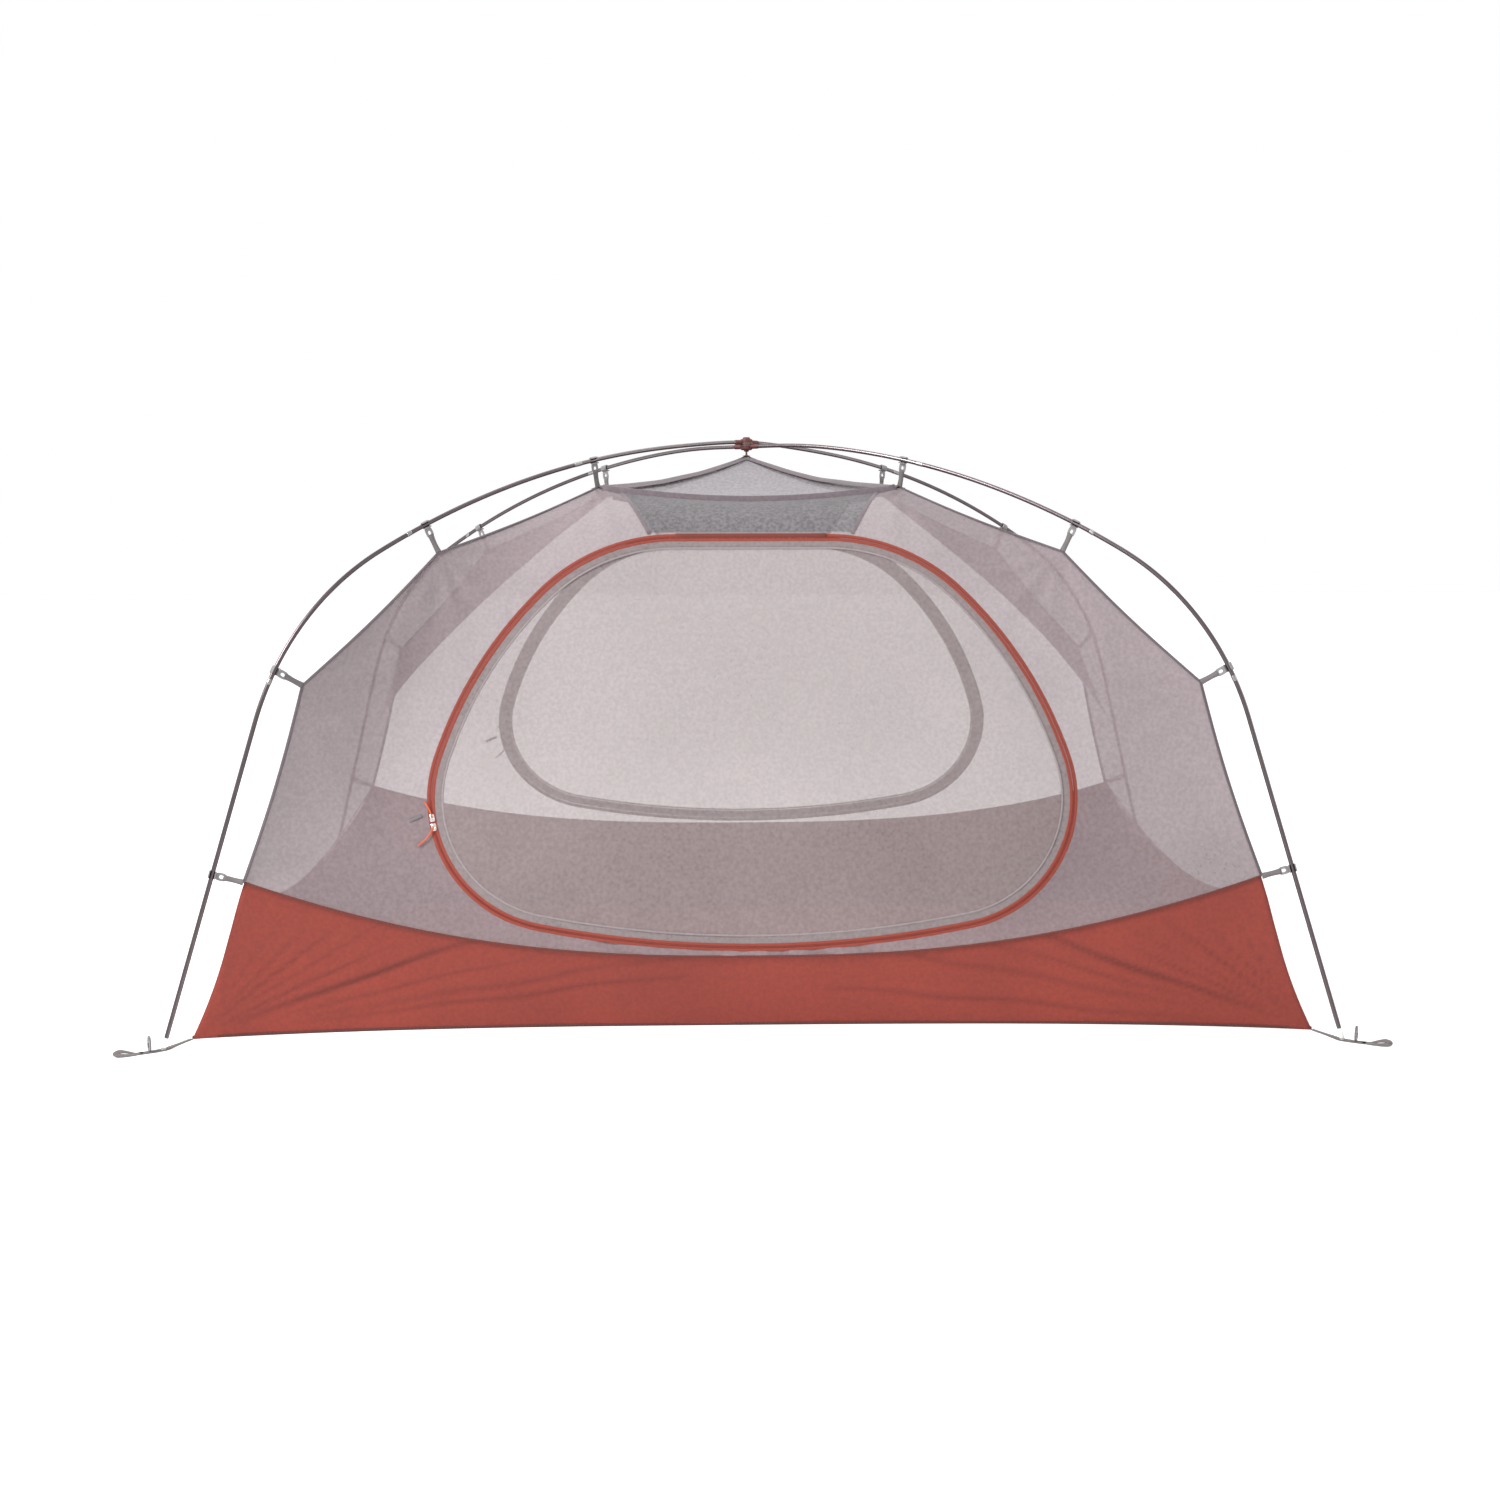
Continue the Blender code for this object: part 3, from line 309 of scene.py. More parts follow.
def piece(name, shape, finish, body="tent", smooth=True, slot=None, bevel=0.0, sharp=None, node=None):
    """One visual piece on a body, from its (points, faces), with the frame's node that it replaces."""
    points, faces = shape
    mesh = bpy.data.meshes.new(name)
    mesh.from_pydata([tuple(p) for p in points], [], faces)
    bm = bmesh.new()
    bm.from_mesh(mesh)
    bmesh.ops.recalc_face_normals(bm, faces=bm.faces)
    bm.to_mesh(mesh)
    bm.free()
    mesh.materials.append(MATERIALS[finish])
    obj = placed(name, mesh)
    if smooth:
        mesh.shade_smooth()
    if bevel:
        soft = obj.modifiers.new("soft_edges", "BEVEL")
        soft.width = bevel
        soft.segments = 2
        soft.limit_method = "ANGLE"
    if bevel or sharp:
        mesh.set_sharp_from_angle(angle=math.radians(sharp or 50))
    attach(obj, body)
    if node:
        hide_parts(node)
    return obj


def bridge(first, second, cols, closed=True):
    """Faces between two rows of points, given by where each row starts."""
    out = []
    for c in range(cols if closed else cols - 1):
        d = (c + 1) % cols
        out.append((first + c, first + d, second + d, second + c))
    return out


def grid_faces(rows, cols, closed=False, start=0):
    out = []
    for r in range(rows - 1):
        out += bridge(start + r * cols, start + (r + 1) * cols, cols, closed)
    return out


def capped(rows, cols):
    """Faces of a closed grid whose first and last rows are filled."""
    last = (rows - 1) * cols
    return grid_faces(rows, cols, True) + [tuple(range(cols)), tuple(range(last, last + cols))]


def fan(start, cols, tip):
    """Faces from a closed row of points to a single one."""
    return [(start + c, start + (c + 1) % cols, tip) for c in range(cols)]


def steps(low, high, count):
    """Values at equal steps, with both ends."""
    return [low + (high - low) * i / (count - 1) for i in range(count)]


def full_turn(count, closed=False):
    """Angles at equal steps once round; closed repeats the first at the end."""
    return [2.0 * math.pi * i / count for i in range(count + (1 if closed else 0))]


def lengths(line, closed):
    """Running length at each point of a line, and its whole length."""
    run, total = [0.0], 0.0
    for i in range(1, len(line) + (1 if closed else 0)):
        total += (Vector(line[i % len(line)]) - Vector(line[i - 1])).length
        run.append(total)
    return run, total


def spread_evenly(line, count, closed=True):
    """The same line with count points at equal steps."""
    run, total = lengths(line, closed)
    out, i = [], 0
    for k in range(count):
        at = total * k / (count if closed else count - 1)
        while i < len(run) - 2 and run[i + 1] < at:
            i += 1
        share = (at - run[i]) / max(run[i + 1] - run[i], 1e-9)
        a, b = Vector(line[i]), Vector(line[(i + 1) % len(line)])
        out.append(a.lerp(b, min(max(share, 0.0), 1.0)))
    return out


def tangents(line, closed):
    out = []
    n = len(line)
    for i in range(n):
        a = line[(i - 1) % n] if closed or i > 0 else line[i]
        b = line[(i + 1) % n] if closed or i < n - 1 else line[i]
        out.append((b - a).normalized())
    return out


RIBBON = ((-0.5, 0.0), (-0.5, 0.6), (-0.42, 1.0), (0.42, 1.0), (0.5, 0.6), (0.5, 0.0))


def ribbon_mesh(line, normals, width, thick, closed=False):
    """A flat strip with soft edges, laid along a line and standing on its normals."""
    points, ways = [], tangents(line, closed)
    widths = width if hasattr(width, "__len__") else [width] * len(line)
    for p, n, way, w in zip(line, normals, ways, widths):
        across = way.cross(n).normalized()
        points += [p + across * (w * a) + n * (thick * b) for a, b in RIBBON]
    rows, k = len(line), len(RIBBON)
    if closed:
        return points, grid_faces(rows, k, True) + bridge((rows - 1) * k, 0, k)
    return points, capped(rows, k)


def ribbon(name, line, normals, width, thick, finish, body="tent", closed=False, **more):
    return piece(name, ribbon_mesh(line, normals, width, thick, closed), finish, body, **more)


def join(parts):
    """Several (points, faces) as one."""
    points, faces = [], []
    for some_points, some_faces in parts:
        start = len(points)
        points += some_points
        faces += [tuple(start + i for i in face) for face in some_faces]
    return points, faces


def block(centre, x_way, y_way, z_way, size):
    """A small box with its top edges drawn in."""
    sx, sy, sz = (v * 0.5 for v in size)
    points = []
    for z, pull in ((-1, 1.0), (1, 0.72)):
        for x, y in ((-1, -1), (1, -1), (1, 1), (-1, 1)):
            flat = x_way * (x * sx * pull) + y_way * (y * sy * pull)
            points.append(centre + flat + z_way * (z * sz))
    faces = [(0, 1, 2, 3), (4, 5, 6, 7), (0, 1, 5, 4), (1, 2, 6, 5), (2, 3, 7, 6), (3, 0, 4, 7)]
    return points, faces


def stitches(name, line, normals, pitch, size, finish, body="tent", closed=False):
    """Separate stitches along a line: each a short raised bar."""
    run, total = lengths(line, closed)
    count = max(2, int(total / pitch))
    spots = spread_evenly(line, count, closed)
    parts, j = [], 0
    for i, (p, way) in enumerate(zip(spots, tangents(spots, closed))):
        at = total * i / (count if closed else count - 1)
        while j < len(run) - 2 and run[j + 1] < at:
            j += 1
        n = normals[j % len(normals)]
        parts.append(block(p + n * size[2] * 0.5, way, way.cross(n).normalized(), n, size))
    return piece(name, join(parts), finish, body, smooth=False)


def tube_mesh(line, radius, sides=16, caps=True):
    """A round tube along a line, with its ring turned as little as possible from point to point."""
    ways = tangents(line, False)
    side = ways[0].orthogonal().normalized()
    radii = radius if hasattr(radius, "__len__") else [radius] * len(line)
    points = []
    for p, way, r in zip(line, ways, radii):
        side = (side - way * side.dot(way)).normalized()
        other = way.cross(side)
        points += [p + side * (r * math.cos(a)) + other * (r * math.sin(a)) for a in full_turn(sides)]
    return points, capped(len(line), sides) if caps else grid_faces(len(line), sides, True)


def turned(profile, sides):
    """A body turned about the tent's middle, from (height, radius) steps."""
    return tube_mesh([UP * height for height, _ in profile], [r for _, r in profile], sides)


def hoop(centre, radius, thick, count, sides):
    """A level ring of round section."""
    line = [centre + Vector((radius * math.cos(a), radius * math.sin(a), 0.0))
            for a in full_turn(count, True)]
    return tube_mesh(line, thick, sides, False)


# The tent's lines and surfaces, as in the part --------------------

def door_point(x, w, n, side):
    y = DOOR_Y0 - DOOR_SLOPE * DOOR_C * w + DOOR_C * n
    z = DOOR_Z0 + DOOR_C * w + DOOR_SLOPE * DOOR_C * n
    return Vector((x, side * y, z))


def door_normal(side):
    return Vector((0.0, side * DOOR_C, DOOR_SLOPE * DOOR_C))


def tub_side_edge(x, side):
    u = abs(x) / RIDGE[0][0]
    low = TUB_MID_Z[side]
    z = low + (RIDGE[0][2] - low) * u ** 2.6
    plane = DOOR_Y0 - DOOR_SLOPE * (z - DOOR_Z0)
    corner = DOOR_Y0 - DOOR_SLOPE * (RIDGE[0][2] - DOOR_Z0)
    return Vector((x, side * (plane + (RIDGE[0][1] - corner) * u ** 4), z))


def tub_end_edge(s, side):
    x = TUB_END_MID[0] + (RIDGE[0][0] - TUB_END_MID[0]) * s * s
    z = TUB_END_MID[1] + (RIDGE[0][2] - TUB_END_MID[1]) * s * s
    return Vector((side * x, s * RIDGE[0][1], z))


def floor_edge_side(x, side):
    u = abs(x) / FLOOR_X
    return Vector((x, side * (FLOOR_MID_Y + (FLOOR_Y - FLOOR_MID_Y) * u ** 3), 0.0))


def floor_edge_end(s, side):
    return Vector((side * (FLOOR_MID_X + (FLOOR_X - FLOOR_MID_X) * abs(s) ** 3), s * FLOOR_Y, 0.0))


def roof_seam_side(s, side):
    sag = 1.0 - s * s
    return Vector((s * RIDGE[3][0], side * (RIDGE[3][1] + 0.004 * sag), RIDGE[3][2] - ROOF_SAG_FRONT * sag))


def roof_seam_end(s, side):
    sag = 1.0 - s * s
    return Vector((side * (RIDGE[3][0] - 0.006 * sag), s * RIDGE[3][1], RIDGE[3][2] - ROOF_SAG_END * sag))


RIDGE_DIP = 0.007        # how far the ridge falls back between two clips


def ridge_at(v, sx=1, sy=1):
    """Point on a ridge, v from 0 at the tub to 3 at the roof."""
    i = min(int(v), len(RIDGE) - 2)
    p = Vector(RIDGE[i]).lerp(Vector(RIDGE[i + 1]), v - i)
    p += Vector((-p.x, -p.y, -0.35)).normalized() * RIDGE_DIP * math.sin(math.pi * (v - i))
    return Vector((sx * p.x, sy * p.y, p.z))


def zip_arcs(side):
    """The arcs of the zip's right half: centre, radius, heading at the start, and turn."""
    x, w, heading = ZIP_TOP_HALF, ZIP_TOP, 0.0
    out = []
    for radius, degrees in ZIP_ARCS[side]:
        cx, cw, turn = x - radius * math.sin(heading), w - radius * math.cos(heading), math.radians(degrees)
        out.append((cx, cw, radius, heading, turn))
        heading += turn
        x, w = cx + radius * math.sin(heading), cw + radius * math.cos(heading)
    return out


def zip_loop(offset, side):
    """The zip's line in the door plane, moved outwards by offset, as a closed list of (x, w)."""
    right = [(x, ZIP_TOP + offset) for x in steps(0.0, ZIP_TOP_HALF, 13)]
    for (cx, cw, radius, heading, turn), count in zip(zip_arcs(side), (24, 16, 56, 16)):
        for i in range(1, count + 1):
            a = heading + turn * i / count
            right.append((cx + (radius + offset) * math.sin(a), cw + (radius + offset) * math.cos(a)))
    right[-1] = (0.0, right[-1][1])
    return right + [(-px, pw) for px, pw in reversed(right[1:-1])]


def zip_line(offset, lift, side):
    """The same line in space, lifted off the door's plane."""
    return [door_point(x, w, lift, side) for x, w in zip_loop(offset, side)]


def zip_spots(offset, side, count):
    """The same line in the door plane, at equal steps."""
    return spread_evenly([Vector((x, w, 0.0)) for x, w in zip_loop(offset, side)], count)


def flat_of(p):
    """Door-plane coordinates of a point on the back's side."""
    rel = p - door_point(0.0, 0.0, 0.0, 1)
    return p.x, rel.dot(Vector((0.0, -DOOR_SLOPE * DOOR_C, DOOR_C))), rel.dot(door_normal(1))


def wall_border(side):
    """The outer edge of a long wall, given at the back whichever side it belongs to."""
    edge = [tub_side_edge(RIDGE[0][0] * i / 48, side) for i in range(48)]
    edge = [Vector((p.x, abs(p.y), p.z)) for p in edge]
    edge += [ridge_at(3.0 * i / 60) for i in range(60)]
    edge += [roof_seam_side(1.0 - i / 24, 1) for i in range(25)]
    return edge + [Vector((-p.x, p.y, p.z)) for p in reversed(edge[1:-1])]


def crossing(line, angle):
    """The outermost point where a ray from the door's middle meets a closed line."""
    dx, dy = math.cos(angle), math.sin(angle)
    best = None
    for i in range(len(line)):
        a, b = line[i], line[(i + 1) % len(line)]
        ax, ay, bx, by = a[0], a[1] - DOOR_MID_W, b[0], b[1] - DOOR_MID_W
        ex, ey = bx - ax, by - ay
        det = dx * ey - dy * ex
        if abs(det) < 1e-12:
            continue
        reach, share = (ax * ey - ay * ex) / det, (ax * dy - ay * dx) / det
        if reach > 0.0 and -1e-9 <= share <= 1.0 + 1e-9 and (best is None or reach > best[0]):
            best = (reach, [a[k] + (b[k] - a[k]) * share for k in range(len(a))])
    return best[1]


BORDER = {side: [flat_of(p) for p in wall_border(side)] for side, _ in FACES}
WALL_INNER = {side: zip_loop(ZIP_EDGE, side) for side, _ in FACES}


def ridged(a, b, seed):
    """Long folds: noise that changes fast along a and slowly along b."""
    return noise.noise(Vector((a, b, seed)))


def wall_wrinkle(x, w, angle, t, gap, side):
    """How far the wall's cloth stands off: puckers at the zip, pulls at the clips, folds and slow waves."""
    seed = 3.7 * side
    edge = min(1.0, t * 9.0) * min(1.0, (1.0 - t) * 7.0)
    circle = (24.0 * math.cos(angle), 24.0 * math.sin(angle))
    patch = Vector((2.2 * math.cos(angle), 2.2 * math.sin(angle), seed + 5.0))
    strength = 0.35 + 0.9 * max(0.0, noise.noise(patch))
    pucker = 0.0060 * strength * math.exp(-gap / 0.055) * noise.noise(Vector((*circle, seed + gap * 4.0)))
    slow = 0.0045 * noise.noise(Vector((x * 2.6, w * 2.6, seed + 11.0)))
    fold = 0.0
    # A soft fold falls from the second clip on each side
    for sign in (-1, 1):
        off = x - sign * (0.742 + 0.10 * (0.62 - w))
        fold += 0.0055 * math.exp(-(off / 0.020) ** 2) * math.exp(-((w - 0.62) / 0.16) ** 2)
    pull = 0.0
    for cx, cw, _ in CLIP_FLATS:
        for sign in (-1, 1):
            rx, rw = x - sign * cx, w - cw
            reach = math.hypot(rx, rw)
            way = math.atan2(rw, rx * sign)
            pull += 0.0070 * math.exp(-reach / 0.11) * math.sin(way * 11.0 + seed)
    low = 0.0055 * math.exp(-max(0.0, w + 0.02) / 0.12) * ridged(x * 16.0 + w * 22.0, w * 3.0, seed + 2.0)
    return edge * (pucker + slow + fold + pull + low)


CLIP_FLATS = [flat_of(Vector(p)) for p in RIDGE[1:]]


def wall_at(angle, t, side, ends, lift=0.0):
    inner, outer = ends
    x = inner[0] + (outer[0] - inner[0]) * t
    w = inner[1] + (outer[1] - inner[1]) * t
    gap = math.hypot(x - inner[0], w - inner[1])
    n = outer[2] * t * t + wall_wrinkle(x, w, angle, t, gap, side)
    return door_point(x, w, n + lift, side)


def angle_of(x, w):
    return math.atan2(w - DOOR_MID_W, x)


def ray_ends(angle, side):
    return crossing(WALL_INNER[side], angle), crossing(BORDER[side], angle)


# Canopy --------------------

def build_long_wall(side, word):
    spots = zip_spots(ZIP_EDGE, side, 520)
    rows = 26
    shares = [t ** 1.35 for t in steps(0.0, 1.0, rows)]
    columns = []
    for spot in spots:
        angle = angle_of(spot.x, spot.y)
        ends = ray_ends(angle, side)
        columns.append([wall_at(angle, t, side, ends) for t in shares])
    points = [column[r] for r in range(rows) for column in columns]
    wall = piece(f"{word}_wall_cloth", (points, grid_faces(rows, len(spots), True)), "wall",
                 slot="mesh_fabric", node=f"{word}_wall")


def build_door(side, word):
    spots = zip_spots(-ZIP_EDGE, side, 300)
    rings = 22
    seed = 9.1 * side
    points = []
    for r in range(rings):
        share = 1.0 - r / rings
        for spot in spots:
            x, w = spot.x * share, DOOR_MID_W + (spot.y - DOOR_MID_W) * share
            inset = (1.0 - share) * 0.4
            edge = min(1.0, (1.0 - share) * 12.0)
            a = math.atan2(spot.y - DOOR_MID_W, spot.x)
            pucker = noise.noise(Vector((21.0 * math.cos(a), 21.0 * math.sin(a), seed + inset * 3.0)))
            n = -0.006 * (1.0 - share ** 2)
            n += edge * 0.0034 * math.exp(-inset / 0.05) * pucker
            n += edge * 0.0050 * noise.noise(Vector((x * 2.1, w * 2.9, seed)))
            ridges = ridged(w * 30.0 + x * 3.0, x * 2.0, seed + 4.0)
            n += edge * 0.0030 * math.exp(-max(0.0, w) / 0.16) * ridges
            points.append(door_point(x, w, n, side))
    points.append(door_point(0.0, DOOR_MID_W, -0.006, side))
    count = len(spots)
    faces = grid_faces(rings, count, True) + fan((rings - 1) * count, count, rings * count)
    door = piece(f"{word}_door_cloth", (points, faces), "door", body=f"{word}_door", slot="mesh_fabric",
                 node=f"{word}_door")
    # Facing tape and its stitches, a little inside the zip
    hem = zip_line(-FACING_INSET, 0.0, side)
    normals = [door_normal(side)] * len(hem)
    ribbon(f"{word}_door_facing", hem, normals, 0.0042, 0.0008, "facing", f"{word}_door", True)
    stitches(f"{word}_door_stitches", zip_line(-FACING_INSET, 0.0008, side), normals, 0.0065,
             (0.0040, 0.0010, 0.0007), "pale_thread", f"{word}_door", True)


def build_zip(side, word):
    normal = door_normal(side)
    normals = [normal] * len(zip_loop(0.0, side))
    for part, sign, body, shift in (("wall", 1.0, "tent", 0.0), ("door", -1.0, f"{word}_door", 0.0013)):
        ribbon(f"{word}_zip_tape_{part}", zip_line(sign * 0.0046, -0.0008, side), normals, 0.0066, 0.0014,
               "tape", body, True, slot="zip_tape", node=f"{word}_zip_{part}_side")
        stitches(f"{word}_zip_stitches_{part}", zip_line(sign * ZIP_EDGE, 0.0006, side), normals, 0.0050,
                 (0.0032, 0.0007, 0.0006), "red_thread", body, True)
        # One row of teeth on each tape; the two rows mesh along the middle
        coil = zip_spots(sign * 0.0006, side, 1150)
        teeth = []
        for spot, way in zip(coil, tangents(coil, True)):
            x, w = spot.x + way.x * shift, spot.y + way.y * shift
            along = door_point(x + way.x, w + way.y, 0.0, side) - door_point(x, w, 0.0, side)
            teeth.append(block(door_point(x, w, 0.0008, side), along.normalized(),
                               along.cross(normal).normalized(), normal, (0.0014, 0.0034, 0.0014)))
        piece(f"{word}_zip_teeth_{part}", join(teeth), "coil", body, smooth=False, slot="zip_tape")
    # The stretch at the top where the zip's two ends are sewn down
    top = [door_point(x, ZIP_TOP + 0.0048, 0.0007, side) for x in steps(-0.162, 0.162, 21)]
    ribbon(f"{word}_zip_top_cover", top, [normal] * 21, 0.0085, 0.0016, "tape_end")
    # Lining behind the zip: a broad band on the door and a narrow one on the wall
    for part, offset, wide, body in (("wall", 0.0052, 0.0078, "tent"),
                                     ("door", -0.0118, 0.0200, f"{word}_door")):
        ribbon(f"{word}_zip_lining_{part}", zip_line(offset, -0.0026, side), [-n for n in normals], wide,
               0.0008, "back_tape", body, True)


def build_vent(side, word):
    """Coarse mesh panel over the door, with a strip down each side."""
    low, high = math.radians(64.0), math.radians(116.0)
    rays = [(a, ray_ends(a, side)) for a in steps(low, high, 41)]
    points = [wall_at(a, t, side, ends, 0.0012) for t in steps(0.05, 0.96, 15) for a, ends in rays]
    vent = piece(f"{word}_vent_mesh", (points, grid_faces(15, 41)), "vent", slot="mesh_fabric")
    for label, (a, ends) in (("left", rays[-1]), ("right", rays[0])):
        line = [wall_at(a, t, side, ends, 0.0010) for t in steps(0.03, 0.98, 17)]
        ribbon(f"{word}_vent_strip_{label}", line, surface_normals(line), 0.0085, 0.0008, "seam_strip")


def surface_normals(line):
    """Normals that lean with a line running up a long wall."""
    normals = [Vector((1.0, 0.0, 0.0)).cross(way).normalized() for way in tangents(line, False)]
    return [n if n.z > 0.0 else -n for n in normals]


def build_end_wall(side, word):
    foot = Vector((TUB_END_MID[0], 0.0, TUB_END_MID[1]))
    head = Vector((RIDGE[3][0] - 0.006, 0.0, RIDGE[3][2] - ROOF_SAG_END))
    rows, cols = 64, 57
    points = []
    for v in steps(0.0, 3.0, rows):
        ridge = ridge_at(v)
        middle = foot.lerp(head, v / 3.0) + Vector((END_BULGE * math.sin(math.pi * v / 3.0), 0.0, 0.0))
        for s in steps(-1.0, 1.0, cols):
            x = middle.x + (ridge.x - middle.x) * s * s
            z = middle.z + (ridge.z - middle.z) * s * s
            edge = min(1.0, (1.0 - abs(s)) * 8.0) * min(1.0, v * 3.0) * min(1.0, (3.0 - v) * 3.0)
            wave = 0.006 * noise.noise(Vector((s * 2.2, v * 1.3, 20.0 + side)))
            wave += 0.0030 * noise.noise(Vector((s * 2.0, v * 9.0 + s * 3.0, 31.0 + side))) * abs(s)
            points.append(Vector((side * (x + edge * wave), s * ridge.y, z)))
    wall = piece(f"{word}_end_cloth", (points, grid_faces(rows, cols)), "end", slot="mesh_fabric",
                 node=f"{word}_end_wall")


def roof_rim(count):
    """The roof's outline with each point's share of the way between its two corners."""
    rim = []
    for seam, side, way in ((roof_seam_side, -1, 1.0), (roof_seam_end, 1, 1.0),
                            (roof_seam_side, 1, -1.0), (roof_seam_end, -1, -1.0)):
        for s in steps(-way, way, count + 1)[:-1]:
            rim.append((seam(s, side), s))
    return rim


ROOF_RIDGE_SAG = 0.014


def roof_point(p, s, t):
    """On the roof, t from 0 at its rim to 1 at its peak. The cloth sags between the four ridges."""
    q = p.lerp(Vector((0.0, 0.0, PEAK_Z)), t)
    sag = math.sin(math.pi * t) * (ROOF_RIDGE_SAG + 0.008 * (1.0 - s * s))
    wave = 0.0030 * math.sin(math.pi * t) * noise.noise(Vector((q.x * 12.0, q.y * 12.0, 3.0)))
    return q + Vector((0.0, 0.0, wave - sag))


def build_roof():
    rim = roof_rim(32)
    rings = 18
    points = [roof_point(p, s, r / rings) for r in range(rings) for p, s in rim]
    points.append(Vector((0.0, 0.0, PEAK_Z)))
    count = len(rim)
    faces = grid_faces(rings, count, True) + fan((rings - 1) * count, count, rings * count)
    roof = piece("roof_cloth", (points, faces), "roof", slot="mesh_fabric", node="roof_mesh")
    # A band down both sides of each ridge, and one along each seam
    for sx, sy, word in QUARTERS:
        corner = Vector((sx * RIDGE[3][0], sy * RIDGE[3][1], RIDGE[3][2]))
        line = [roof_point(corner, 1.0, t) for t in steps(0.0, 1.0, 25)]
        widths = steps(0.030, 0.014, 25)
        for label, n in (("side", Vector((0.0, sy * 0.42, 0.91))), ("end", Vector((sx * 0.21, 0.0, 0.98)))):
            inwards = Vector((-sx, 0.0, 0.0)) if label == "side" else Vector((0.0, -sy, 0.0))
            laid = []
            for p, way, wide in zip(line, tangents(line, False), widths):
                into = (inwards - way * inwards.dot(way) - n * inwards.dot(n)).normalized()
                laid.append(p + into * wide * 0.5 + n * 0.0008)
            ribbon(f"roof_band_{word}_{label}", laid, [n] * 25, widths, 0.0009, "band", slot="canopy_fabric")
    for side, word in FACES:
        n = door_normal(side)
        down = Vector((0.0, side * DOOR_SLOPE * DOOR_C, -DOOR_C))
        line = []
        for s in steps(-0.985, 0.985, 41):
            x, w, _ = flat_of(roof_seam_side(s, 1))
            angle = angle_of(x, w)
            ends = ray_ends(angle, side)
            reach = math.hypot(ends[1][0] - ends[0][0], ends[1][1] - ends[0][1])
            line.append(wall_at(angle, 1.0 - 0.0130 / reach, side, ends, 0.0026))
        ribbon(f"{word}_roof_band", line, [n] * 41, 0.0240, 0.0010, "band", slot="canopy_fabric")
        run = [p + n * 0.0010 + down * 0.0100 for p in line]
        stitches(f"{word}_roof_stitches", run, [n] * 41, 0.0060, (0.0036, 0.0008, 0.0006), "dark_thread")
    for side, word in ((-1, "left"), (1, "right")):
        line = [roof_seam_end(s, side) + UP * 0.0004 for s in steps(-0.985, 0.985, 41)]
        n = Vector((side * 0.45, 0.0, 0.89)).normalized()
        ribbon(f"{word}_roof_band", line, [n] * 41, 0.0200, 0.0010, "band", slot="canopy_fabric")


def build_ridge(sx, sy, word):
    """Bound seam along a ridge, from the tub to the roof, with its stitches."""
    line = [ridge_at(v, sx, sy) for v in steps(0.0, 3.0, 91)]
    normals = [Vector((p.x * 0.75, p.y, 0.30 + max(0.0, p.z - 0.6))).normalized() for p in line]
    seated = [p - n * 0.0008 for p, n in zip(line, normals)]
    ribbon(f"ridge_binding_{word}", seated, normals, 0.0085, 0.0030, "binding", slot="canopy_fabric")
    raised = [p + n * 0.0030 for p, n in zip(seated, normals)]
    stitches(f"ridge_stitches_{word}", raised, normals, 0.0062, (0.0038, 0.0008, 0.0006), "dark_thread")


# Floor tub --------------------

def tub_loops(steps_side, steps_end):
    """Bottom and top edge of the tub at matching places, once round."""
    low, high = [], []
    for y_side, x_side, way in ((-1, 1, 1.0), (1, -1, -1.0)):
        for t in steps(-way, way, steps_side + 1)[:-1]:
            low.append(floor_edge_side(t * FLOOR_X, y_side))
            high.append(tub_side_edge(t * RIDGE[0][0], y_side))
        for t in steps(-way, way, steps_end + 1)[:-1]:
            low.append(floor_edge_end(t, x_side))
            high.append(tub_end_edge(t, x_side))
    return low, high


# Folds that fan out from a bottom corner: degrees above the floor, where each starts and ends, width, depth
FOLDS = ((5.5, 0.30, 0.95, 0.0055, 0.55), (9.0, 0.35, 0.90, 0.0070, 0.45), (14.0, 0.28, 0.62, 0.0040, 0.50),
         (19.5, 0.12, 0.56, 0.0062, 1.00), (25.5, 0.07, 0.36, 0.0036, 0.60), (31.0, 0.14, 0.42, 0.0028, 0.45),
         (38.0, 0.05, 0.33, 0.0034, 0.65), (45.0, 0.07, 0.29, 0.0030, 0.50), (53.0, 0.10, 0.27, 0.0026, 0.40))


def fold_depth(p):
    """How deep in a fold a point of the tub's wall lies, from 0 to 1."""
    deepest = 0.0
    for sx, sy, _ in QUARTERS:
        across = math.hypot(p.x - sx * FLOOR_X, p.y - sy * FLOOR_Y)
        reach = math.hypot(across, p.z)
        if reach > 1.0 or reach < 0.03:
            continue
        way = math.degrees(math.atan2(p.z, across))
        lean = 1.5 * noise.noise(Vector((reach * 4.0, sx * 3.0, sy * 3.0)))
        for degrees, start, end, wide, depth in FOLDS:
            if not start * 0.6 < reach < end * 1.15:
                continue
            off = reach * math.radians(way + lean - degrees - 1.2 * math.sin(degrees + sx + 2.0 * sy))
            along = min(1.0, max(0.0, (reach - start * 0.6) / (end * 1.15 - start * 0.6)))
            body = math.sin(math.pi * along) ** 0.6
            deepest = max(deepest, depth * body * math.exp(-(off / wide) ** 2))
    return deepest


def tub_crease(p, h):
    """Folds that run from the floor's corners, and a slow wave along the wall."""
    if not 0.0 < h < 0.97:
        return 0.0
    out = -0.0050 * fold_depth(p)
    out += 0.0060 * noise.noise(Vector((p.x * 3.4, p.y * 3.4, p.z * 7.0)))
    out += 0.0026 * noise.noise(Vector((p.x * 9.0 + p.z * 14.0, p.y * 9.0, p.z * 26.0 + 4.0)))
    return out * math.sqrt(math.sin(math.pi * h))


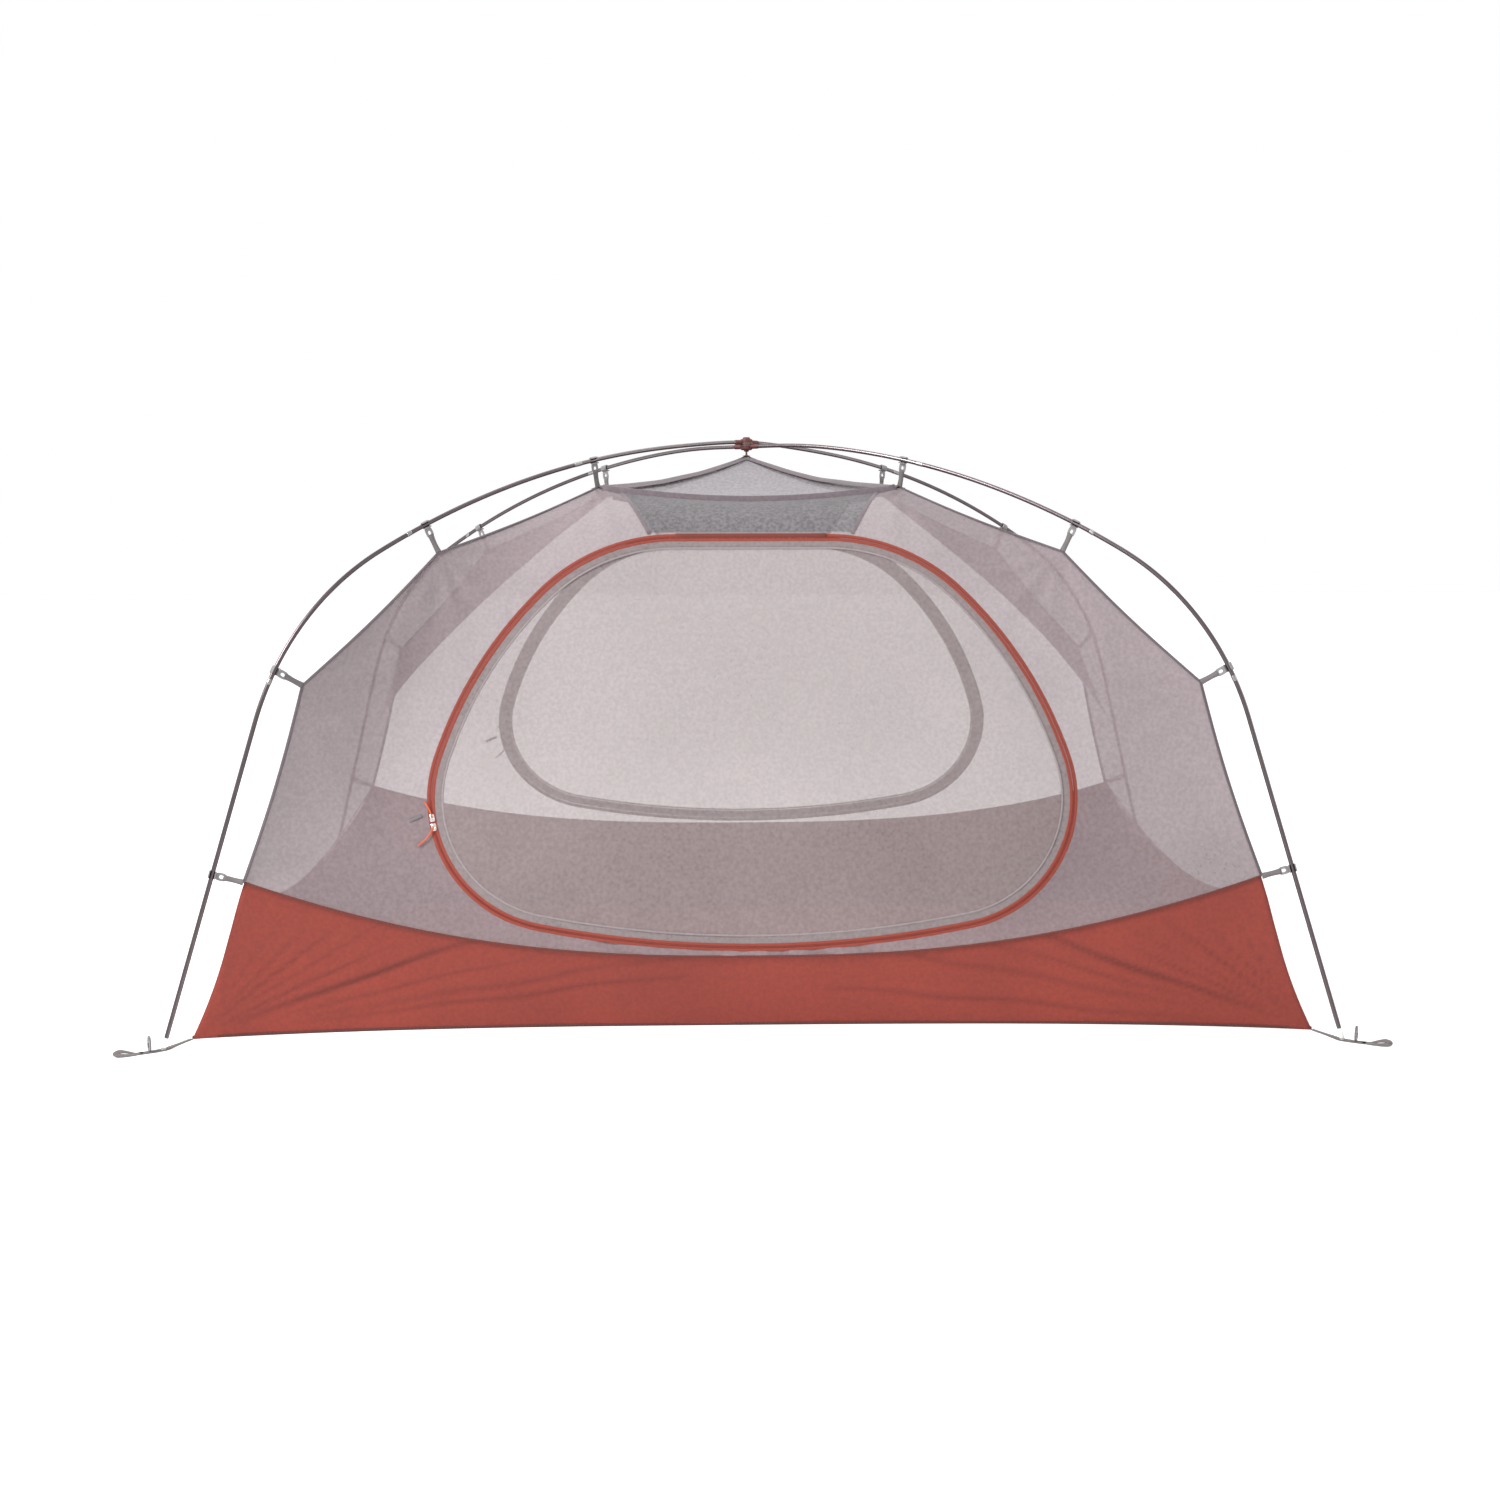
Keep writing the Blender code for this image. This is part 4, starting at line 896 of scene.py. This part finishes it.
def outwards(p, rise=0.0):
    """The way out of the tub's long or short wall, whichever is nearer."""
    if abs(p.y) / 0.72 > abs(p.x) / 1.12:
        return Vector((0.0, math.copysign(1.0, p.y), rise))
    return Vector((math.copysign(1.0, p.x), 0.0, rise))


def build_tub():
    low, high = tub_loops(220, 110)
    count, rows = len(low), 34
    points, painted_shades = [], []
    for h in steps(0.0, 1.0, rows):
        for a, b in zip(low, high):
            p = a.lerp(b, h)
            near_x = max(0.0, 1.0 - (FLOOR_X - abs(p.x)) / 0.12)
            near_y = max(0.0, 1.0 - (FLOOR_Y - abs(p.y)) / 0.10)
            corner = near_x * near_y
            tuck = Vector((-math.copysign(0.012, p.x), -math.copysign(0.012, p.y), 0.0)) * corner
            lift = (tub_crease(p, h) - 0.0030) * (1.0 - corner)
            points.append(p + outwards(p, 0.1) * lift + tuck * math.sin(math.pi * h))
            # Painted shade: the deeper a point lies in a fold, the darker its colour
            painted_shades.append(1.0 - 0.42 * fold_depth(p))
    # The floor, from its edge to the middle
    rings = 16
    for r in range(1, rings):
        share = 1.0 - r / rings
        for a in low:
            wave = 0.5 + 0.5 * noise.noise(Vector((a.x * share * 4.0, a.y * share * 4.0, 8.0)))
            rise = 0.0008 + 0.0040 * wave * min(1.0, (1.0 - share) * 6.0)
            points.append(Vector((a.x * share, a.y * share, rise)))
    points.append(Vector((0.0, 0.0, 0.003)))
    base = rows * count
    faces = grid_faces(rows, count, True) + bridge(0, base, count) + grid_faces(rings - 1, count, True, base)
    faces += fan(base + (rings - 2) * count, count, len(points) - 1)
    tub = piece("floor_tub_cloth", (points, faces), "tub", slot="tub_fabric", node="floor_tub")
    store_painted_shade(tub, painted_shades + [1.0] * (len(points) - len(painted_shades)), "folds")
    for name, line, width, finish, rise, sink in (("tub_bottom_hem", low, 0.0055, "hem", 0.0032, 0.0034),
                                                  ("tub_top_binding", high, 0.0050, "tub_edge", 0.0, 0.0008)):
        normals = [outwards(p) for p in line]
        set_in = [p + UP * rise - n * sink for p, n in zip(line, normals)]
        ribbon(name, set_in, normals, width, 0.0022, finish, closed=True, slot="tub_fabric")
        run = [p + n * 0.0022 for p, n in zip(set_in, normals)]
        stitches(f"{name}_stitches", run, normals, 0.0080, (0.0045, 0.0008, 0.0006), "dark_thread",
                 closed=True)


# Poles --------------------

def pole_flat(s):
    crown = CROWN_R * CROWN_ANGLE
    shoulder = SHOULDER_R * (LEG_ANGLE - CROWN_ANGLE)
    if s <= crown:
        a = s / CROWN_R
        return CROWN_R * math.sin(a), -CROWN_R * (1.0 - math.cos(a)), a
    r = CROWN_R * math.sin(CROWN_ANGLE)
    z = -CROWN_R * (1.0 - math.cos(CROWN_ANGLE))
    if s <= crown + shoulder:
        a = CROWN_ANGLE + (s - crown) / SHOULDER_R
        return (r + SHOULDER_R * (math.sin(a) - math.sin(CROWN_ANGLE)),
                z - SHOULDER_R * (math.cos(CROWN_ANGLE) - math.cos(a)), a)
    r += SHOULDER_R * (math.sin(LEG_ANGLE) - math.sin(CROWN_ANGLE))
    z -= SHOULDER_R * (math.cos(CROWN_ANGLE) - math.cos(LEG_ANGLE))
    d = s - crown - shoulder
    return r + d * math.cos(LEG_ANGLE), z - d * math.sin(LEG_ANGLE), LEG_ANGLE


POLE_HALF = CROWN_R * CROWN_ANGLE + SHOULDER_R * (LEG_ANGLE - CROWN_ANGLE) + LEG_LEN
POLE_TOP = -pole_flat(POLE_HALF)[1]


def pole_point(s, sx, sy, lift):
    r, z, a = pole_flat(abs(s))
    sign = 1.0 if s >= 0.0 else -1.0
    out = Vector((sx * math.cos(PLAN_ANGLE), sy * math.sin(PLAN_ANGLE), 0.0))
    rise = lift * math.exp(-(r / CROSS_WIDTH) ** 2)
    return out * (sign * r) + UP * (POLE_TOP + z + rise), out * math.cos(a) - UP * (sign * math.sin(a))


def pole_run(low, high, sx, sy, lift, step=0.012):
    count = max(2, int((high - low) / step) + 1)
    return [pole_point(s, sx, sy, lift)[0] for s in steps(low, high, count)]


def sleeve(low, high, sx, sy, lift, step, ends, middle):
    """A short tube round a pole: how far it stands off the pole at its ends and between them."""
    line = pole_run(low, high, sx, sy, lift, step)
    radii = [POLE_R + ends] + [POLE_R + middle] * (len(line) - 2) + [POLE_R + ends]
    return tube_mesh(line, radii, 20)


def pole_foot(sx, sy):
    foot = pole_point(POLE_HALF, sx, sy, 0.0)[0]
    foot.z = 0.0
    return foot


def build_pole(letter, sx, sy, lift):
    joint = CROWN_R * SECTION_ANGLE
    foot = POLE_HALF - TIP_END
    spans = (("crown", -joint, joint, "pole"), ("right_leg", joint + 0.0004, foot - 0.0004, "leg"),
             ("left_leg", -foot + 0.0004, -joint - 0.0004, "leg"))
    for label, low, high, finish in spans:
        piece(f"pole_{letter}_{label}_tube", tube_mesh(pole_run(low, high, sx, sy, lift), POLE_R, 20), finish,
              slot="pole_tube", sharp=60, node=f"pole_{letter}_{label}")
    parts = []
    for sign in (-1, 1):
        for at, reach in ((joint, 0.010), (joint + 0.440, 0.006), (joint + 0.880, 0.006)):
            middle = sign * at
            parts.append(sleeve(middle - reach, middle + reach, sx, sy, lift, 0.002, 0.00005, 0.00045))
    piece(f"pole_{letter}_ferrules", join(parts), "ferrule", slot="pole_tube")
    # The cord inside keeps the frame's own mesh
    cord_finish = bpy.data.objects[f"shock_cord_{letter}"].data.materials
    cord_finish.clear()
    cord_finish.append(MATERIALS["elastic"])


# Crown hub and hook --------------------

def build_hub():
    low, high = POLE_TOP - CROSS_LIFT - POLE_R - 0.0036, POLE_TOP + CROSS_LIFT + POLE_R + 0.0036
    profile = ((low, 0.0115), (low + 0.0010, 0.0130), (low + 0.0035, 0.0142), (low + 0.010, 0.0136),
               (high - 0.010, 0.0136), (high - 0.0035, 0.0146), (high - 0.0012, 0.0140), (high, 0.0105),
               (high + 0.0008, 0.0088), (high + 0.0030, 0.0080), (high + 0.0040, 0.0060))
    piece("pole_hub_body", turned(profile, 40), "hub", slot="hub_plastic", sharp=40, node="pole_hub")
    # Sleeves where the poles come out of the hub, and a tie of cord round the crossing
    parts = []
    for sx, sy, lift in ((1, 1, CROSS_LIFT), (1, -1, -CROSS_LIFT)):
        for start, end in ((-0.034, -0.011), (0.011, 0.034)):
            parts.append(sleeve(start, end, sx, sy, lift, 0.003, 0.0003, 0.0011))
    piece("pole_hub_sleeves", join(parts), "hub", slot="hub_plastic")
    ties = [hoop(UP * z, 0.0146, 0.0012, 48, 8) for z in (POLE_TOP - 0.0022, POLE_TOP + 0.0022)]
    piece("pole_hub_tie", join(ties), "webbing", slot="hub_plastic")
    profile = ((PEAK_Z + 0.0006, 0.0090), (PEAK_Z + 0.0016, 0.0095), (PEAK_Z + 0.0026, 0.0060),
               (PEAK_Z + 0.0040, 0.0024), (low - 0.0040, 0.0022), (low - 0.0030, 0.0058),
               (low - 0.0012, 0.0064), (low - 0.0004, 0.0052))
    piece("peak_hook_body", turned(profile, 28), "hook", slot="hook_plastic", sharp=40, node="peak_hook")


# Clips --------------------

def clip_arc_length(index):
    """The arc length where the pole passes closest to a ridge corner."""
    anchor = Vector(RIDGE[index])
    return min((POLE_HALF * i / 2100 for i in range(2100)),
               key=lambda s: (pole_point(s, 1, 1, 0.0)[0] - anchor).length)


CLIP_AT = [clip_arc_length(i) for i in range(4)]


def clip_frame(index, sx, sy):
    x, y, z = RIDGE[index]
    lift = CROSS_LIFT if sx * sy > 0 else -CROSS_LIFT
    point, along = pole_point(CLIP_AT[index], sx, sy, lift)
    up = point - Vector((sx * x, sy * y, z))
    up = up - along * up.dot(along)
    reach = up.length
    up.normalize()
    across = along.cross(up).normalized()
    if across.x * sx < 0.0:
        across = -across
    return point - up * reach, reach, up, across, along


def oval(count, a, b, power):
    """An outline between an ellipse and its box: the higher the power, the squarer."""
    out = []
    for t in full_turn(count):
        c, s = math.cos(t), math.sin(t)
        x, y = math.copysign(abs(c) ** (2.0 / power), c), math.copysign(abs(s) ** (2.0 / power), s)
        out.append((a * x, b * y))
    return out


def ring_plate(outer, inner, place, thick):
    """A flat ring between two outlines with the same number of points."""
    k = len(outer)
    rims = ((outer, -thick / 2), (outer, thick / 2), (inner, thick / 2), (inner, -thick / 2))
    points = [place(a, b, c) for line, c in rims for a, b in line]
    return points, grid_faces(4, k, True) + bridge(3 * k, 0, k)


def build_clip(index, sx, sy, word):
    anchor, reach, up, across, along = clip_frame(index, sx, sy)
    body = f"clip_{word}_{index + 1}"
    inner, wall = POLE_R + 0.0005, 0.0028
    outer = inner + wall
    plate_low, plate_high = 0.56 * reach, reach - outer + 0.0008
    mid, half = (plate_low + plate_high) / 2, (plate_high - plate_low) / 2

    def place(a, b, c):
        return anchor + up * a + across * c + along * b

    outline = [(mid + a, b) for a, b in oval(32, half, 0.0082, 3.6)]
    window = [(mid - half * 0.10 + a, b) for a, b in oval(32, half * 0.44, 0.0034, 2.2)]
    plate = ring_plate(outline, window, place, 0.0026)
    # The hook: a C round the pole, open on one side, with a lip
    bend = inner + wall / 2
    arc = [(reach + bend * math.sin(a), bend * math.cos(a))
           for a in steps(math.radians(-128.0), math.radians(128.0), 19)]
    arc[0] = (reach - inner - wall * 0.62, -0.0078)
    arc[-1] = (reach + inner + wall * 0.40, -0.0078)
    rows = []
    for i, (a, c) in enumerate(arc):
        before, after = arc[max(i - 1, 0)], arc[min(i + 1, len(arc) - 1)]
        ta, tc = after[0] - before[0], after[1] - before[1]
        size = math.hypot(ta, tc)
        na, nc = tc / size, -ta / size
        thin = wall / 2 * (0.62 if i in (0, len(arc) - 1) else 1.0)
        for wide, deep in ((-0.0072, -1.0), (0.0072, -1.0), (0.0080, -0.5), (0.0080, 0.5), (0.0072, 1.0),
                           (-0.0072, 1.0), (-0.0080, 0.5), (-0.0080, -0.5)):
            rows.append(anchor + up * (a + na * thin * deep) + across * (c + nc * thin * deep) + along * wide)
    hook = (rows, capped(len(arc), 8))
    rib = block(place(plate_high - 0.0025, 0.0, 0.0016), along, up, across, (0.0100, 0.0016, 0.0012))
    piece(f"{body}_hook", join([plate, hook, rib]), "clip", body, bevel=0.0004, slot="clip_plastic",
          node=body)
    # The strap loops through the window's lower bar and is sewn to the ridge
    span = plate_low + 0.0040
    arch = [math.sin(math.pi * t) for t in steps(0.0, 1.0, 13)]
    line = [anchor + up * a + across * (0.0016 * high) for a, high in zip(steps(0.0012, span, 13), arch)]
    back = [p - across * 0.0022 for p in line]
    widths = [0.0125 - 0.0020 * high for high in arch]
    strips = [ribbon_mesh(run, [across] * 13, widths, 0.0009) for run in (line, back)]
    roll = [anchor + up * span + along * b for b in steps(-0.0050, 0.0050, 7)]
    piece(f"{body}_strap", join(strips + [tube_mesh(roll, 0.0019, 10)]), "strap", body, slot="canopy_fabric")
    threads = [block(place(a, b, 0.0022), along, up, across, (0.0010, 0.0008, 0.0008))
               for a in (0.0030, 0.0050, span * 0.72) for b in steps(-0.0048, 0.0048, 9)]
    piece(f"{body}_stitches", join(threads), "dark_thread", body, smooth=False)


# Corners --------------------

def corner_axes(sx, sy):
    out = Vector((sx * 0.846, sy * 0.533, 0.0))
    return out, Vector((-out.y, out.x, 0.0))


def build_tip(sx, sy, word):
    profile = ((0.0006, 0.0010), (0.0012, 0.0024), (0.0020, 0.0028), (0.0046, 0.0028), (0.0050, 0.0042),
               (0.0062, 0.0049), (0.0180, 0.0049), (0.0195, 0.0052), (0.0225, 0.0052), (0.0240, 0.0047),
               (0.0244, 0.0034), (0.0400, 0.0034))
    line = [pole_point(POLE_HALF - up, sx, sy, 0.0)[0] for up, _ in profile]
    piece(f"pole_tip_{word}_body", tube_mesh(line, [r for _, r in profile], 24), "tip", slot="tip_plastic",
          sharp=50, node=f"pole_tip_{word}")


LOOP_LEAN = math.radians(38.0)
LOOP_HALF_WIDTH = 0.0094


def build_webbing(sx, sy, word):
    """Flat webbing from the floor's corner through the grommet, ending in the stake loop."""
    start = Vector((sx * FLOOR_X, sy * FLOOR_Y, 0.0))
    foot = pole_foot(sx, sy)
    inner_way = (foot - start).normalized()
    out, side = corner_axes(sx, sy)
    run = [start + inner_way * 0.002, foot - inner_way * 0.020, foot - inner_way * 0.004,
           foot + out * 0.016, foot + out * 0.045]
    line = spread_evenly(run, 26, False)
    widths = [0.0080 + 0.0105 * min(1.0, i / 16) ** 2 for i in range(26)]
    parts = [ribbon_mesh([p + UP * 0.0002 for p in line], [UP] * 26, widths, WEBBING_T - 0.0004)]
    # The stake loop: a tapering closed band round a slit, which leans up on its outer edge at the far end
    outer = side if side.y * sy > 0.0 else -side
    loop, facings = [], []
    for a in full_turn(40, True):
        along = 0.066 - 0.0265 * math.cos(a)
        wide = (0.0048 + 0.0020 * (along - 0.04) / 0.052) * math.sin(a)
        lean = LOOP_LEAN * min(1.0, max(0.0, (along - 0.052) / 0.030))
        rise = (LOOP_HALF_WIDTH - wide) * math.sin(lean)
        loop.append(foot + out * along + outer * (wide * math.cos(lean)) + UP * (0.0002 + rise))
        facings.append(UP * math.cos(lean) + outer * math.sin(lean))
    parts.append(ribbon_mesh(loop, facings, 0.0092, WEBBING_T - 0.0004))
    # A second layer under the buckle
    fold = [foot + out * a + UP * (WEBBING_T - 0.0003)
            for a in steps(BUCKLE_OUT - 0.012, BUCKLE_OUT + 0.012, 11)]
    parts.append(ribbon_mesh(fold, [UP] * 11, 0.0130, 0.0006))
    piece(f"corner_webbing_{word}_strap", join(parts), "webbing", slot="webbing",
          node=f"corner_webbing_{word}")
    hole = pole_point(POLE_HALF - 0.0012, sx, sy, 0.0)[0]
    hole.z = WEBBING_T + 0.0006
    piece(f"corner_grommet_{word}", hoop(hole, 0.0052, 0.0011, 32, 10), "grommet", slot="slider_metal")
    size = (0.0022, 0.0007, 0.0006)
    threads = [block(p + side * off + UP * (WEBBING_T + 0.0001), inner_way, side, UP, size)
               for off in (-0.0060, 0.0060) for p in spread_evenly(run[:2], 8, False)]
    piece(f"corner_stitches_{word}", join(threads), "dark_thread", smooth=False)


def build_buckle(sx, sy, word):
    """Ladder-lock buckle on the webbing, hinged on its lower bar."""
    out, side = corner_axes(sx, sy)
    pivot = pole_foot(sx, sy) + out * BUCKLE_OUT + UP * (WEBBING_T + BUCKLE_RISE)

    def place(a, b, c):
        return pivot + side * a + UP * b + out * c

    outline = [(a, 0.0138 + b) for a, b in oval(36, 0.0110, 0.0152, 3.2)]
    outline = [(a * (1.0 - 0.28 * max(0.0, (b - 0.012) / 0.017)), b) for a, b in outline]
    window = [(a, 0.0102 + b) for a, b in oval(36, 0.0054, 0.0048, 3.0)]
    parts = [ring_plate(outline, window, place, 0.0028)]
    bar = [place(a, 0.0102, 0.0) for a in steps(-0.0075, 0.0075, 7)]
    parts.append(tube_mesh(bar, 0.0011, 10))
    for b in steps(0.0200, 0.0260, 4):
        parts.append(block(place(0.0, b, 0.0016), side, UP, out, (0.0100, 0.0008, 0.0008)))
    piece(f"corner_buckle_{word}_frame", join(parts), "buckle", f"corner_buckle_{word}", bevel=0.0004,
          slot="buckle_plastic", node=f"corner_buckle_{word}")


# Zip sliders and pulls --------------------

def slider_frame(side, which):
    """Where a slider sits on the zip's tight bend: centre, radius, way out and way along."""
    cx, cw, radius = zip_arcs(side)[2][:3]
    angle = math.radians(SLIDER_DEGREES[side][which])
    radial = (math.cos(angle), math.sin(angle))
    return -cx, cw, radius, radial, (-radial[1], radial[0])


def pull_route(side, which):
    """The pull cord's points, from the slider's crown."""
    cx, cw, radius, radial, _ = slider_frame(side, which)
    pull, out = PULLS[which], []
    for t in steps(0.0, 1.0, 18):
        bend = 0.004 * math.sin(math.pi * t)
        x = cx + radial[0] * radius + pull[0] * t + bend * abs(pull[1]) / PULL_LEN
        w = cw + radial[1] * radius + pull[1] * t + bend * pull[0] / PULL_LEN
        out.append(door_point(x, w, 0.0060 - 0.0006 * math.sin(math.pi * t), side))
    return out


def build_pull(side, word, which):
    route = pull_route(side, which)
    name = f"{word}_{which}_pull"
    curve = bpy.data.curves.new(name, "CURVE")
    curve.dimensions = "3D"
    curve.bevel_depth = CORD_R
    curve.bevel_resolution = 4
    curve.use_fill_caps = True
    line = curve.splines.new("POLY")
    line.points.add(len(route) - 1)
    for spot, p in zip(line.points, route):
        spot.co = (*p, 1.0)
    line.use_smooth = True
    curve.materials.append(MATERIALS["cord"])
    cord = placed(name, curve)
    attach(cord, f"{word}_{which}_slider")
    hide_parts(f"zip_pull_{word}_{which}")
    _, length = lengths(route, False)
    tuple(route[0])


def build_slider(side, word, which):
    cx, cw, radius, radial, track = slider_frame(side, which)
    flip = 1.0 if which == "upper" else -1.0

    def place(a, b, c):
        x = cx + radial[0] * (radius + a) + track[0] * c * flip
        w = cw + radial[1] * (radius + a) + track[1] * c * flip
        return door_point(x, w, b, side)

    # A shield: broad where the tapes part, narrow where they leave
    shield = ((-0.0034, -0.0080), (0.0034, -0.0080), (0.0046, -0.0060), (0.0052, -0.0010), (0.0056, 0.0040),
              (0.0044, 0.0072), (0.0014, 0.0080), (0.0, 0.0072), (-0.0014, 0.0080), (-0.0044, 0.0072),
              (-0.0056, 0.0040), (-0.0052, -0.0010), (-0.0046, -0.0060))
    k = len(shield)
    top = [place(a, 0.0010, c) for a, c in shield] + [place(a, 0.0022, c) for a, c in shield]
    top += [place(a * 0.8, 0.0028, c * 0.86) for a, c in shield]
    under = [place(a * 0.86, b, c * 0.9) for b in (-0.0036, -0.0024) for a, c in shield]
    crown = [place(0.0, 0.0024 + 0.0030 * math.sin(math.pi * t), -0.0050 + 0.0100 * t)
             for t in steps(0.0, 1.0, 11)]
    ring = [place(0.0036 * math.sin(a), 0.0054 + 0.0003 * math.sin(a), 0.0036 * math.cos(a))
            for a in full_turn(24, True)]
    parts = [(top, capped(3, k)), (under, capped(2, k)), tube_mesh(crown, 0.0010, 10),
             tube_mesh(ring, 0.0007, 8, False)]
    piece(f"{word}_{which}_slider_body", join(parts), "nickel", f"{word}_{which}_slider", bevel=0.0003,
          slot="slider_metal", node=f"zip_slider_{word}_{which}")


def build_tie_back(side, word):
    """Short strip sewn by the zip, which holds the rolled door open."""
    a = math.radians(188.0)
    cx, cw, radius = zip_arcs(side)[2][:3]
    x0, w0 = -cx + (radius + 0.020) * math.cos(a), cw + (radius + 0.020) * math.sin(a)
    line = [door_point(x0 - 0.030 * t, w0 - 0.014 * t, 0.0012 + 0.0016 * math.sin(math.pi * t), side)
            for t in steps(0.0, 1.0, 11)]
    ribbon(f"{word}_tie_back", line, [door_normal(side)] * 11, 0.0065, 0.0010, "strap", slot="canopy_fabric")


# Everything together --------------------

def build_stage():
    bm = bmesh.new()
    bmesh.ops.create_grid(bm, x_segments=8, y_segments=8, size=30.0)
    mesh = bpy.data.meshes.new("pale_floor")
    bm.to_mesh(mesh)
    bm.free()
    mesh.materials.append(MATERIALS["stage"])
    ground = placed("pale_floor", mesh)
    ground.location.z = -0.0004


build_camera()
build_light()
build_materials()
build_stage()
for face_side, face in FACES:
    for slider in ("upper", "lower"):
        build_pull(face_side, face, slider)
        build_slider(face_side, face, slider)
for face_side, face in FACES:
    build_long_wall(face_side, face)
    build_door(face_side, face)
    build_zip(face_side, face)
    build_vent(face_side, face)
    build_tie_back(face_side, face)
build_end_wall(-1, "left")
build_end_wall(1, "right")
build_roof()
build_tub()
for quarter_x, quarter_y, quarter in QUARTERS:
    build_ridge(quarter_x, quarter_y, quarter)
    for clip_index in range(4):
        build_clip(clip_index, quarter_x, quarter_y, quarter)
    build_tip(quarter_x, quarter_y, quarter)
    build_webbing(quarter_x, quarter_y, quarter)
    build_buckle(quarter_x, quarter_y, quarter)
build_pole("a", 1, 1, CROSS_LIFT)
build_pole("b", 1, -1, -CROSS_LIFT)
build_hub()
